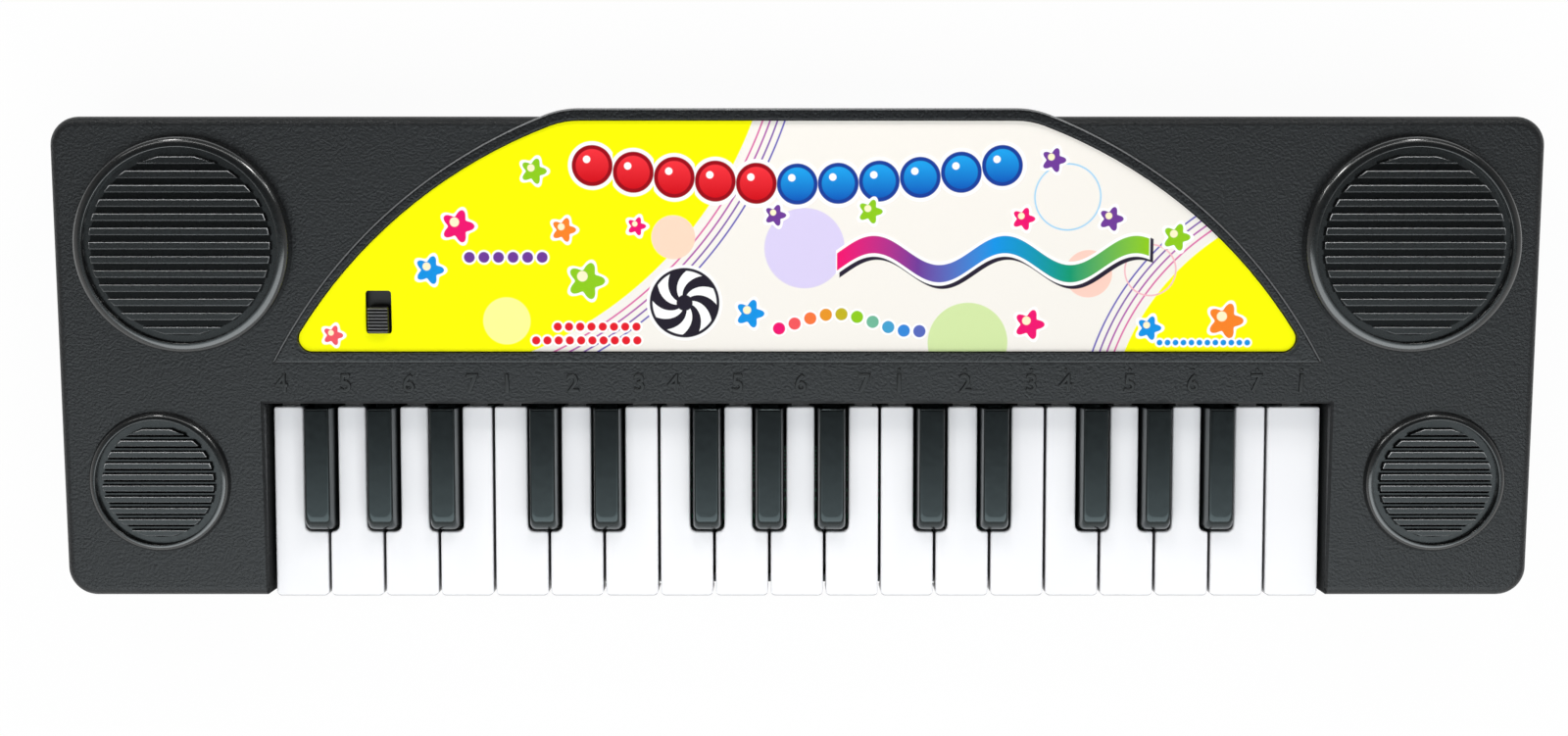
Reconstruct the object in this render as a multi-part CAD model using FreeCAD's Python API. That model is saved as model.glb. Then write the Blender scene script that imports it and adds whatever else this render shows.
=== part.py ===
import FreeCAD, Part
import math
import os

# A toy electronic keyboard: 32 hollow keys rock on one steel rod inside a two-part moulded case.
# X runs along the keys, Y points to the rear and Z up, in millimetres.
# The origin lies on the table, under the middle of the outline.

# Key layout, from F to C, with the black keys spread about the gaps between the white ones
white_notes = "FGABCDEFGABCDEFGABC"
key_pitch = 15.5
key_gap = 0.8
three_spread = 2.0
two_spread = 1.2

# Key caps: the top of the white keys above the table, and the depths of their walls
white_length = 53.6
white_top = 26.0
skirt_depth = 8.0
apron_depth = 13.0
key_wall = 1.4
key_roof = 1.8
key_chamfer = 0.5
black_length = 34.6
black_rise = 5.5
black_width = 8.3
black_top_width = 7.0
black_front_slope = 2.4
black_bevel = 0.8
black_clear = 0.65
key_travel = 5.0

# Key tails, which hook over the rod behind the caps
tail_width = 5.0
tail_drop = 3.5
tail_height = 4.6
tail_length = 23.0
tail_end = 2.8
rod_radius = 1.0
rod_clear = 0.05
rod_end_gap = 0.3
stop_gap = 0.3
stop_thickness = 1.6
stop_behind_lip = 7.0
hanger_thickness = 1.6
hanger_width = 6.4
hanger_mouth = 1.7
hanger_below = 2.6

# Case
wing_width = 56.5
corner_radius = 8.0
edge_radius = 2.6
wall = 2.2
top_wall = 2.2
floor_wall = 2.0
foot_height = 1.6
foot_length = 16.0
foot_width = 6.0
foot_inset = 14.0
foot_side_inset = 42.0
bottom_chamfer = 1.6
part_height = 12.0
parting_groove = 0.5
front_height = 30.0
face_angle = 3.0
key_overhang = 0.8
apron_room = 0.6

# Key bay in the upper case
bay_side_gap = 0.75
cheek_wall = 2.0
lip_gap = 1.4
lip_depth = 3.6
lip_wall = 2.2
lip_chamfer = 0.7

# Arched bezel and its label; half widths at the foot and at the shoulders of the arch
bezel_foot = 145.0
bezel_shoulder = 64.0
bezel_bow = 10.2
bezel_blend = 26.0
bezel_front_gap = 11.2
bezel_overhang = 2.1
bezel_rise = 1.2
bezel_edge = 0.9
bezel_rim = 3.1
bezel_foot_rim = 2.2
recess_depth = 0.3
label_gap = 0.3
label_thickness = 0.5
label_corner = 3.6

# Round grilles: outer wall, bead, dish and bars
rear_grille_radius = 29.9
rear_grille_height = 4.2
rear_grille_wall = 3.0
rear_bead_width = 3.2
rear_grille_side = 6.2
rear_grille_back = 5.1
rear_bar_count = 13
front_grille_radius = 19.8
front_grille_height = 2.1
front_grille_wall = 0.5
front_bead_width = 2.3
front_grille_side = 7.4
front_grille_front = 12.5
front_bar_count = 10
grille_draft = 0.3
bead_facets = 2
dish_depth = 1.6
bar_share = 0.5
bar_end_gap = 2.0
outer_bar_gap = 0.5

# Slide switch in the label
switch_share = 0.795
switch_behind_bezel = 14.3
window_width = 7.1
window_length = 11.9
window_corner = 0.9
knob_width = 5.8
knob_length = 7.3
knob_rise = 1.9
knob_end_gap = 0.15
knob_flange = 1.3
knob_flange_height = 0.8
knob_stem = 2.0
knob_stem_depth = 1.6
ridge_count = 6
ridge_depth = 0.4
switch_gap = 0.3
housing_width = 9.0
housing_length = 15.0
housing_height = 4.0
switch_board_width = 28.0
switch_board_length = 14.0
switch_board_back = 3.0
hook_thickness = 1.4
hook_clear = 0.1
hook_nose = 1.2
hook_width = 5.0

# Circuit board with the rubber contact strip
board_thickness = 1.6
board_post = 5.8
board_beyond_bay = 8.0
board_front_gap = 18.0
board_rear_gap = 4.0
board_rest = 5.0
strip_width = 12.0
strip_base = 1.0
strip_behind = 6.5
dome_height = 4.0
dome_width = 6.2
dome_length = 9.0
dome_taper = 1.0
dome_gap = 0.3
presser_length = 4.0
chip_size = 13.0
chip_height = 1.6
chip_x = 60.0

# Screws
screw_radius = 1.3
screw_clear = 0.05
screw_head_radius = 2.5
screw_head_height = 1.8
screw_grip = 3.0
screw_bite = 8.0
screw_inset_side = 11.0
screw_inset_rear = 9.0
screw_inset_front = 8.6
boss_width = 8.4
sink_clear = 0.4

# Battery bay for AA cells side by side, and its door
cell_count = 3
cell_length = 50.5
cell_diameter = 14.5
cell_room = 1.0
contact_room = 3.5
tub_wall = 1.6
tub_front_gap = 2.7
tub_rear_gap = 1.0
door_thickness = 1.8
door_seat = 0.1
door_gap = 0.4
ledge = 2.0
ledge_thickness = 1.6
tongue_reach = 2.5
tongue_width = 6.0
tongue_spread = 18.0
tongue_thickness = 1.2
tongue_clear = 0.3
grip_count = 5
grip_pitch = 2.4
grip_width = 1.2
grip_height = 0.5
grip_length = 18.0
grip_inset = 5.0
contact_thickness = 0.4
contact_height = 11.0
contact_margin = 1.5
leaf_width = 5.0
leaf_reach = 2.6
leaf_root = 1.2
stud_width = 4.4
stud_height = 0.9

# Loudspeaker, face down over slots in the floor
speaker_width = 36.0
speaker_flange = 3.0
speaker_flange_height = 1.2
speaker_depth = 6.0
speaker_shell = 0.9
magnet_radius = 8.0
magnet_height = 5.0
cone_thickness = 0.6
cone_clear = 0.3
collar_height = 3.0
collar_wall = 1.6
collar_gap = 0.3
slot_count = 5
slot_pitch = 5.0
slot_width = 2.6
slot_margin = 3.0

# Flat leads that end under the circuit board
lead_width = 2.6
lead_thickness = 1.2
lead_overlap = 2.0
lead_inset = 1.0

V = FreeCAD.Vector
parts = {}


# Shapes

def box(x0, x1, y0, y1, z0, z1):
    """A block between two corners."""
    return Part.makeBox(x1 - x0, y1 - y0, z1 - z0, V(x0, y0, z0))


def post(x, y, z0, z1, radius):
    """An upright cylinder."""
    return Part.makeCylinder(radius, z1 - z0, V(x, y, z0))


def square_post(x, y, z0, z1, width):
    """An upright square bar."""
    half = width / 2
    return box(x - half, x + half, y - half, y + half, z0, z1)


def prism(points, z0, z1):
    """A flat outline in X and Y, pulled up from z0 to z1."""
    wire = Part.makePolygon([V(x, y, z0) for x, y in points + points[:1]])
    return Part.Face(wire).extrude(V(0, 0, z1 - z0))


def across(points, x0, x1):
    """A profile in Y and Z, pulled along X from x0 to x1."""
    wire = Part.makePolygon([V(x0, y, z) for y, z in points + points[:1]])
    return Part.Face(wire).extrude(V(x1 - x0, 0, 0))


def level_edges(shape, z):
    """The edges of a shape that lie at this height above the table."""
    return [e for e in shape.Edges if all(abs(v.Z - z) < 1e-6 for v in e.Vertexes)]


def upright_edges(shape):
    """The straight edges of a shape that stand upright."""
    return [e for e in shape.Edges if abs(e.tangentAt(e.FirstParameter).z) > 0.999]


def rounded_block(x0, x1, y0, y1, z0, z1, radius):
    """A block with its four upright edges rounded."""
    block = box(x0, x1, y0, y1, z0, z1)
    return block.makeFillet(radius, upright_edges(block))


def turned(points):
    """A profile in radius and height, turned once about the Z axis."""
    wire = Part.makePolygon([V(r, 0, z) for r, z in points + points[:1]])
    return Part.Face(wire).revolve(V(0, 0, 0), V(0, 0, 1), 360)


def stacked(sections):
    """A flat-faced solid through rectangles (x0, x1, y0, y1, z), one above the other."""
    rings = [[V(x0, y0, z), V(x1, y0, z), V(x1, y1, z), V(x0, y1, z)] for x0, x1, y0, y1, z in sections]
    outlines = [rings[0], rings[-1]]
    for low, high in zip(rings, rings[1:]):
        outlines += [[low[k - 1], low[k], high[k], high[k - 1]] for k in range(4)]
    return Part.Solid(Part.Shell([Part.Face(Part.makePolygon(ring + ring[:1])) for ring in outlines]))


def fused(first, *others):
    """One clean solid from several."""
    return first.fuse(list(others)).removeSplitter()


# Levels and lines that several pieces share
white_count = len(white_notes)
bay_half = white_count * key_pitch / 2 + bay_side_gap
case_half = bay_half + wing_width
bay_width = cell_count * cell_diameter + 2 * cell_room
tub_depth = tub_front_gap + bay_width + 2 * tub_wall + tub_rear_gap
overall_depth = white_length + tail_length + tail_end + tub_depth + wall + bezel_overhang
y_key_front = -overall_depth / 2
y_front = y_key_front + key_overhang
y_key_rear = y_key_front + white_length
y_lip = y_key_rear + lip_gap
y_pivot = y_key_rear + tail_length
y_tail_end = y_pivot + tail_end
y_rear = y_tail_end + tub_depth + wall
y_contact = y_key_rear - strip_behind
z_floor = foot_height
z_floor_top = z_floor + floor_wall
z_board = z_floor_top + board_post
z_board_top = z_board + board_thickness
z_strip_top = z_board_top + strip_base
z_dome = z_strip_top + dome_height
z_skirt = white_top - skirt_depth
z_apron = white_top - apron_depth
z_tail_top = white_top - tail_drop
z_pivot = z_tail_top - tail_height / 2
z_rail = z_apron - key_travel - apron_room
slope = math.tan(math.radians(face_angle))
far = 4 * case_half


def face_z(y):
    """Height of the sloping top face above the table."""
    return front_height + (y - y_front) * slope


face_frame = FreeCAD.Placement(V(0, 0, face_z(0)), FreeCAD.Rotation(V(1, 0, 0), face_angle))


def on_face(shape):
    """The shape set on the sloping face: its Z becomes the face's normal."""
    placed = shape.copy()
    placed.Placement = face_frame.multiply(placed.Placement)
    return placed


def layer(low, high):
    """All the space between two heights over the sloping face."""
    return on_face(box(-far, far, -far, far, low, high))


def edges_at(shape, height):
    """The edges of a shape that lie at this height over the sloping face."""
    back = face_frame.inverse()
    return [e for e in shape.Edges if all(abs(back.multVec(v.Point).z - height) < 1e-5 for v in e.Vertexes)]


# Keys

sharp_shift = {"F": -three_spread, "G": 0.0, "A": three_spread, "C": -two_spread, "D": two_spread}


def boundary(i):
    """X of the left side of white key i, at the middle of the gap."""
    return (i - white_count / 2) * key_pitch


def sharp_x(i):
    """X of the black key between white keys i and i + 1, or None where there is none."""
    if i < 0 or i == white_count - 1 or white_notes[i] not in sharp_shift:
        return None
    return boundary(i + 1) + sharp_shift[white_notes[i]]


def stem_sides(i):
    """Left and right X of the narrow rear part of white key i."""
    notch = black_width / 2 + black_clear
    before, after = sharp_x(i - 1), sharp_x(i)
    left = boundary(i) + key_gap / 2 if before is None else before + notch
    right = boundary(i + 1) - key_gap / 2 if after is None else after - notch
    return left, right


y_black_rear = y_key_rear
y_black_front = y_black_rear - black_length
y_notch = y_black_front - black_clear


def white_outline(i, inset):
    """Plan outline of white key i: a wide front and a stem that leaves room for the black keys."""
    left, right = boundary(i) + key_gap / 2 + inset, boundary(i + 1) - key_gap / 2 - inset
    stem_left, stem_right = stem_sides(i)
    stem_left, stem_right = stem_left + inset, stem_right - inset
    front, shoulder, rear = y_key_front + inset, y_notch - inset, y_key_rear - inset
    points = [(left, front), (right, front)]
    if stem_right < right:
        points += [(right, shoulder), (stem_right, shoulder)]
    points += [(stem_right, rear), (stem_left, rear)]
    if stem_left > left:
        points += [(stem_left, shoulder), (left, shoulder)]
    return points


def key_tail(x, roof):
    """The bar behind a cap with its hook over the rod, and the rib that presses the rubber dome."""
    x0, x1 = x - tail_width / 2, x + tail_width / 2
    bar = box(x0, x1, y_key_rear - key_wall, y_tail_end, z_tail_top - tail_height, z_tail_top)
    mouth = rod_radius + rod_clear
    hook = box(x0, x1, y_pivot - mouth, y_pivot + mouth, z_tail_top - tail_height, z_pivot + mouth)
    half = presser_length / 2
    presser = box(x0, x1, y_contact - half, y_contact + half, z_dome + dome_gap, roof)
    return bar.cut(hook), presser


def white_key(i):
    """A hollow white key with its deep front apron."""
    cap = prism(white_outline(i, 0), z_skirt, white_top)
    cap = cap.makeChamfer(key_chamfer, level_edges(cap, white_top))
    hollow = prism(white_outline(i, key_wall), z_skirt, white_top - key_roof)
    left, right = boundary(i) + key_gap / 2, boundary(i + 1) - key_gap / 2
    apron = box(left, right, y_key_front, y_key_front + key_wall, z_apron, z_skirt)
    stem_left, stem_right = stem_sides(i)
    tail, presser = key_tail((stem_left + stem_right) / 2, white_top - key_roof / 2)
    return fused(cap.cut(hollow), apron, tail, presser)


def black_key(x):
    """A hollow black key with drafted sides, a sloping front and bevelled top edges."""
    half, top_half = black_width / 2, black_top_width / 2
    top = white_top + black_rise
    level = top - black_bevel
    front, rear = y_black_front, y_black_rear
    body = stacked([
        (x - half, x + half, front, rear, z_skirt),
        (x - half, x + half, front, rear, white_top),
        (x - top_half, x + top_half, front + black_front_slope, rear, level),
        (x - top_half + black_bevel, x + top_half - black_bevel,
         front + black_front_slope + 2 * black_bevel, rear - black_bevel, top),
    ])
    inner = top_half - key_wall
    roof = level - key_roof
    y0, y1 = front + black_front_slope + key_wall, rear - key_wall
    hollow = box(x - inner, x + inner, y0, y1, z_skirt, roof)
    tail, presser = key_tail(x, roof + key_roof / 2)
    return fused(body.cut(hollow), tail, presser)


black_xs = [sharp_x(i) for i in range(white_count) if sharp_x(i) is not None]
white_xs = [sum(stem_sides(i)) / 2 for i in range(white_count)]
for number in range(white_count):
    parts[f"white_key_{number + 1:02d}"] = white_key(number)
for number, x in enumerate(black_xs):
    parts[f"black_key_{number + 1:02d}"] = black_key(x)

# The rod lies in the tails of all the keys, between the cheeks of the bay
rod_half = bay_half - rod_end_gap
parts["pivot_rod"] = Part.makeCylinder(rod_radius, 2 * rod_half, V(-rod_half, y_pivot, z_pivot), V(1, 0, 0))

# Circuit board and contact strip

board_half = bay_half + board_beyond_bay
y_board0 = y_key_front + board_front_gap
y_board1 = y_key_rear + board_rear_gap
parts["circuit_board"] = box(-board_half, board_half, y_board0, y_board1, z_board, z_board_top)

strip_half = bay_half - bay_side_gap
strip = box(-strip_half, strip_half, y_contact - strip_width / 2, y_contact + strip_width / 2,
            z_board_top, z_strip_top)
domes = []
for x in white_xs + black_xs:
    half, long_half = dome_width / 2, dome_length / 2
    domes.append(stacked([
        (x - half, x + half, y_contact - long_half, y_contact + long_half, z_strip_top),
        (x - half + dome_taper, x + half - dome_taper,
         y_contact - long_half + dome_taper, y_contact + long_half - dome_taper, z_dome),
    ]))
parts["contact_strip"] = fused(strip, *domes)

y_chip = (y_board0 + y_contact - strip_width / 2) / 2
half, top_half = chip_size / 2, chip_size / 2 - chip_height / 2
parts["sound_chip"] = stacked([
    (chip_x - top_half, chip_x + top_half, y_chip - top_half, y_chip + top_half, z_board - chip_height),
    (chip_x - half, chip_x + half, y_chip - half, y_chip + half, z_board),
])


# Arch of the bezel, the recess in it and the label, one inside the other, drawn on the sloping face

y_arch0 = y_lip + bezel_front_gap
y_arch1 = y_rear + bezel_overhang
s_arch0 = y_arch0 / math.cos(math.radians(face_angle))
s_arch1 = y_arch1 / math.cos(math.radians(face_angle))
chord = V(bezel_shoulder - bezel_foot, s_arch1 - s_arch0, 0)
bow_radius = (chord.Length ** 2 / 4 + bezel_bow ** 2) / (2 * bezel_bow)
bow_centre = V(bezel_foot, s_arch0, 0) + chord / 2
bow_centre -= V(chord.y, -chord.x, 0) / chord.Length * (bow_radius - bezel_bow)
to_foot = V(bezel_foot, s_arch0, 0) - bow_centre
to_shoulder = V(bezel_shoulder, s_arch1, 0) - bow_centre
along_bow = V(to_shoulder.y, -to_shoulder.x, 0) / bow_radius
rim_slide = (bezel_rim - bezel_foot_rim) * bow_radius / along_bow.dot(to_foot)


def arch(inset, low, high, foot_corner, slide=0):
    """The arched outline drawn in by inset, between two heights; sliding its bows narrows the rim at the feet."""
    radius = bow_radius - inset
    centre = bow_centre + along_bow * slide
    front, rear = s_arch0 + inset, s_arch1 - inset
    middle = (front + rear) / 2

    def side(s):
        return centre.x + math.sqrt(radius ** 2 - (s - centre.y) ** 2)

    def at(sign, s):
        return V(sign * side(s), s, low)

    edges = [
        Part.LineSegment(at(-1, front), at(1, front)).toShape(),
        Part.Arc(at(1, front), at(1, middle), at(1, rear)).toShape(),
        Part.LineSegment(at(1, rear), at(-1, rear)).toShape(),
        Part.Arc(at(-1, rear), at(-1, middle), at(-1, front)).toShape(),
    ]
    solid = Part.Face(Part.Wire(edges)).extrude(V(0, 0, high - low))
    shoulders = [e for e in upright_edges(solid) if e.Vertexes[0].Y > middle]
    solid = solid.makeFillet(bezel_blend - inset, shoulders)
    if foot_corner:
        feet = [e for e in upright_edges(solid) if e.Vertexes[0].Y < front + 1e-5]
        solid = solid.makeFillet(foot_corner, feet)
    return solid


z_high = face_z(y_arch1) + 2 * bezel_rise
label_floor = -recess_depth
label_inset, label_high = bezel_rim + label_gap, label_floor + label_thickness
label_shape = on_face(arch(label_inset, label_floor, label_high, label_corner, rim_slide))
switch_x = -bezel_foot * switch_share
switch_s = s_arch0 + switch_behind_bezel
window_half, window_long = window_width / 2, window_length / 2
window = on_face(rounded_block(switch_x - window_half, switch_x + window_half,
                               switch_s - window_long, switch_s + window_long,
                               -2 * top_wall, 2 * top_wall, window_corner))
parts["panel_label"] = label_shape.cut(window)


# Round grilles, each a cap on the case: a bead round a dish, with bars that stand as high as the bead

def grille(radius, height, wall_height, bead_width, count):
    """One cover on the Z axis: a steep wall, then a bead that rounds up to its inner edge, and level bars."""
    inner = radius - bead_width
    rise, run = height - wall_height, bead_width - grille_draft
    bow = (run ** 2 + rise ** 2) / (2 * rise)
    sweep = math.atan2(run, bow - rise)
    bead = []
    for k in range(bead_facets + 1):
        turn = sweep * (1 - k / bead_facets)
        bead.append((inner + bow * math.sin(turn), height - bow + bow * math.cos(turn)))
    floor = height - dish_depth
    cover = turned([(0, 0), (radius, 0)] + bead + [(inner, floor), (0, floor)])
    reach = inner - bar_end_gap
    pitch = 2 * (reach - outer_bar_gap) / (count - 1 + bar_share)
    bars = []
    for k in range(count):
        low = (k - (count - 1) / 2 - bar_share / 2) * pitch
        high = low + bar_share * pitch
        end_low = math.sqrt(reach ** 2 - low ** 2)
        end_high = math.sqrt(reach ** 2 - high ** 2)
        outline = [(-end_low, low), (end_low, low), (end_high, high), (-end_high, high)]
        bars.append(prism(outline, floor, height))
    return fused(cover, *bars)


rear_grille_x = case_half - rear_grille_side - rear_grille_radius
rear_grille_y = y_rear - rear_grille_back - rear_grille_radius
front_grille_x = case_half - front_grille_side - front_grille_radius
front_grille_y = y_front + front_grille_front + front_grille_radius
rear_cover = grille(rear_grille_radius, rear_grille_height, rear_grille_wall, rear_bead_width, rear_bar_count)
front_cover = grille(front_grille_radius, front_grille_height, front_grille_wall, front_bead_width,
                     front_bar_count)
grille_sets = {
    "rear_grilles": (rear_grille_x, rear_grille_y, rear_cover),
    "front_grilles": (front_grille_x, front_grille_y, front_cover),
}
for name, (x, y, cover) in grille_sets.items():
    pair = [on_face(cover.translated(V(side * x, y, 0))) for side in (-1, 1)]
    parts[name] = Part.makeCompound(pair)


# Slide switch: a knob on a shutter that closes the window, the housing and a small board under the panel

knob_half = knob_width / 2
knob_s0 = switch_s - window_long + knob_end_gap
knob_s1 = knob_s0 + knob_length
knob_mid = (knob_s0 + knob_s1) / 2
flange_top = -top_wall - switch_gap
flange_low = flange_top - knob_flange_height
housing_top = flange_low - switch_gap
knob_top = label_floor + label_thickness + knob_rise
knob = box(switch_x - knob_half, switch_x + knob_half, knob_s0, knob_s1, flange_low, knob_top)
knob_travel = window_length - knob_length - 2 * knob_end_gap
shutter_reach = knob_travel + knob_flange
shutter = box(switch_x - knob_half - knob_flange, switch_x + knob_half + knob_flange,
              knob_s0 - shutter_reach, knob_s1 + shutter_reach, flange_low, flange_top)
stem_half = knob_stem / 2
stem = box(switch_x - stem_half, switch_x + stem_half, knob_mid - stem_half, knob_mid + stem_half,
           housing_top - knob_stem_depth, flange_low)
ridge_pitch = knob_length / ridge_count
grooves = []
for k in range(1, ridge_count):
    middle, reach = knob_s0 + k * ridge_pitch, ridge_pitch / 2
    groove = [(middle - reach, knob_top), (middle, knob_top - ridge_depth), (middle + reach, knob_top)]
    grooves.append(across(groove, switch_x - knob_half, switch_x + knob_half))
parts["switch_knob"] = on_face(fused(knob.cut(grooves), shutter, stem))

housing_half, housing_long = housing_width / 2, housing_length / 2
housing_low = housing_top - housing_height
housing = box(switch_x - housing_half, switch_x + housing_half,
              switch_s - housing_long, switch_s + housing_long, housing_low, housing_top)
slot_half = stem_half + switch_gap
slot = box(switch_x - slot_half, switch_x + slot_half,
           knob_mid - slot_half, knob_mid + knob_travel + slot_half,
           housing_top - knob_stem_depth - switch_gap, housing_top)
parts["switch_housing"] = on_face(housing.cut(slot))

board_s = switch_s + switch_board_back
switch_board_low = housing_low - board_thickness
half, long_half = switch_board_width / 2, switch_board_length / 2
switch_board = box(switch_x - half, switch_x + half,
                   board_s - long_half, board_s + long_half, switch_board_low, housing_low)
parts["switch_board"] = on_face(switch_board)
panel_core = -top_wall / 2 - recess_depth
switch_hooks = []
for side in (-1, 1):
    edge = switch_x + side * half
    arm = sorted((edge + side * hook_clear, edge + side * (hook_clear + hook_thickness)))
    nose = sorted((edge - side * hook_nose, edge + side * (hook_clear + hook_thickness)))
    rest = sorted((edge - side * hook_nose, edge))
    reach = hook_width / 2
    low = switch_board_low - hook_clear
    switch_hooks.append(on_face(box(*arm, board_s - reach, board_s + reach, low, panel_core)))
    switch_hooks.append(on_face(box(*nose, board_s - reach, board_s + reach, low - hook_thickness, low)))
    switch_hooks.append(on_face(box(*rest, board_s - reach, board_s + reach, housing_low, panel_core)))


# Case screws stand in sunk posts of the lower case and bite into bosses of the upper case

screw_points = [
    (side * (case_half - screw_inset_side), y)
    for side in (-1, 1)
    for y in (y_front + screw_inset_front, y_rear - screw_inset_rear)
]
z_seat = part_height - screw_grip
pilot = screw_radius + screw_clear


def screw(x, y):
    """A pan-head screw that points up, with the bearing face of its head on the seat."""
    head = post(x, y, z_seat - screw_head_height, z_seat, screw_head_radius)
    return fused(head, post(x, y, z_seat, part_height + screw_bite, screw_radius))


parts["case_screws"] = Part.makeCompound([screw(x, y) for x, y in screw_points])


# Upper case

def rounded_plan(inset, z0, z1):
    """The case's rounded plan drawn in by inset, as an upright solid."""
    half = case_half - inset
    return rounded_block(-half, half, y_front + inset, y_rear - inset, z0, z1, corner_radius - inset)


upper = rounded_plan(0, part_height, z_high).common(layer(-far, 0))
upper = upper.makeFillet(edge_radius, edges_at(upper, 0))
upper = upper.cut(box(-bay_half, bay_half, y_front - far, y_lip, 0, z_high))
bay_edges = []
for e in edges_at(upper, 0):
    middle = e.valueAt((e.FirstParameter + e.LastParameter) / 2)
    if abs(middle.x) < bay_half + 1e-5 and middle.y < y_lip + 1e-5:
        bay_edges.append(e)
upper = upper.makeChamfer(lip_chamfer, bay_edges)

bezel = arch(0, -z_high, bezel_rise, 0)
bezel = on_face(bezel.makeChamfer(bezel_edge, level_edges(bezel, bezel_rise)))
bezel = bezel.common(box(-case_half, case_half, y_lip, y_arch1, part_height, 2 * z_high))
recess = on_face(arch(bezel_rim, label_floor, z_high, label_corner + label_gap, rim_slide))
upper = upper.fuse(bezel).cut(recess)

# The hollow keeps a wall round the key bay, and opens under the lip so that the key tails reach the rod
hollow = rounded_plan(wall, 0, z_high).common(layer(-far, -top_wall))
cheek = bay_half + cheek_wall
hollow = hollow.cut(box(-cheek, cheek, y_front - far, y_lip + lip_wall, 0, z_high))
bulge = on_face(arch(wall, -2 * z_high, -top_wall, 0))
bulge = bulge.common(box(-case_half, case_half, y_rear - corner_radius, y_arch1 - wall, 0, z_high))
z_lip = face_z(y_lip) - lip_depth
tunnel = box(-bay_half, bay_half, y_lip - lip_wall, y_lip + 2 * lip_wall, 0, z_lip)
upper = upper.cut([hollow, bulge, tunnel])

# Stop rib, hangers of the rod and screw bosses hang from the panel
under_panel = layer(-far, panel_core)
y_stop = y_lip + stop_behind_lip
z_stop = z_tail_top + stop_gap
stop = box(-bay_half, bay_half, y_stop, y_stop + stop_thickness, z_stop, z_high).common(under_panel)
z_snap = z_pivot - math.sqrt(rod_radius ** 2 - (hanger_mouth / 2) ** 2)
clip = box(-far, far, y_pivot - rod_radius, y_pivot + rod_radius, z_snap, z_pivot + rod_radius)
mouth = box(-far, far, y_pivot - hanger_mouth / 2, y_pivot + hanger_mouth / 2, 0, z_snap)
hanger_xs = [boundary(i) for i in range(1, white_count) if sharp_x(i - 1) is None]
hanger_xs += [side * (rod_half - hanger_thickness / 2) for side in (-1, 1)]
hangers = []
for x in hanger_xs:
    half, deep = hanger_thickness / 2, hanger_width / 2
    hanger = box(x - half, x + half, y_pivot - deep, y_pivot + deep, z_pivot - hanger_below, z_high)
    hangers.append(hanger.common(under_panel).cut([clip, mouth]))
bosses = [square_post(x, y, part_height, z_high, boss_width).common(under_panel) for x, y in screw_points]
pilots = [square_post(x, y, part_height, part_height + screw_bite, 2 * pilot) for x, y in screw_points]
clamps = []
for side in (-1, 1):
    x0, x1 = sorted((side * bay_half, side * cheek))
    clamps.append(box(x0, x1, y_contact - board_rest, y_contact + board_rest, z_board_top, part_height))
upper = upper.fuse([stop] + hangers + bosses + switch_hooks + clamps)
upper = upper.cut(pilots + [window])
parts["upper_case"] = upper.removeSplitter()


# Battery bay: tub walls over a ledge that the door seats against

tub_x = cell_length / 2 + contact_room
tub_y0 = y_tail_end + tub_front_gap + tub_wall
tub_y1 = tub_y0 + bay_width
z_door_top = z_floor + door_thickness
z_tub = z_door_top + cell_diameter + cell_room + door_seat
tub = box(-tub_x - tub_wall, tub_x + tub_wall, tub_y0 - tub_wall, tub_y1 + tub_wall,
          z_floor_top, z_tub + tub_wall)
rim = ledge + tub_wall
frame_y1 = min(tub_y1 + rim, y_rear - wall)
z_contact = z_floor_top + ledge_thickness
ledge_frame = box(-tub_x - rim, tub_x + rim, tub_y0 - rim, frame_y1, z_floor_top, z_contact)
cell_space = box(-tub_x, tub_x, tub_y0, tub_y1, z_floor, z_tub)
y_sill, y_opening = tub_y0 - ledge, tub_y1 + ledge / 2
opening = box(-tub_x - ledge, tub_x + ledge, y_sill, y_opening, z_floor, z_floor_top)

# The door turns on its rounded front edge, and its tongues swing up inside notches of the bay's front wall
nose = door_thickness / 2
y_hinge, z_hinge = y_sill + door_gap + nose, z_floor + nose
y_tongue = y_sill - tongue_reach
z_tongue = z_floor_top + door_seat
z_tongue_top = z_tongue + tongue_thickness
z_notch = z_hinge + math.hypot(y_hinge - y_tongue, z_tongue_top - z_hinge) + tongue_clear
tongue_notches = []
tongues = []
for side in (-1, 1):
    x = side * tongue_spread
    half = tongue_width / 2
    room = half + tongue_clear
    tongue_notches.append(box(x - room, x + room, y_tongue - tub_wall, tub_y0, z_floor_top, z_notch))
    tongues.append(box(x - half, x + half, y_tongue, tub_y0 + tub_wall, z_tongue, z_tongue_top))
    tongues.append(box(x - half, x + half, y_hinge, tub_y0 + tub_wall, z_hinge, z_tongue))
door_half = tub_x + ledge - door_gap
door = box(-door_half, door_half, y_hinge, y_opening - door_gap, z_floor, z_door_top)
door_edge = Part.makeCylinder(nose, 2 * door_half, V(-door_half, y_hinge, z_hinge), V(1, 0, 0))
grips = []
for k in range(grip_count):
    y1 = y_opening - grip_inset - k * grip_pitch
    grips.append(box(-grip_length / 2, grip_length / 2, y1 - grip_width, y1, z_floor - grip_height, z_floor))
parts["battery_door"] = fused(door, door_edge, *tongues, *grips)

cell_pitch = bay_width / cell_count
cell_ys = [tub_y0 + (k + 0.5) * cell_pitch for k in range(cell_count)]
z_cell = z_door_top + cell_diameter / 2


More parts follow.
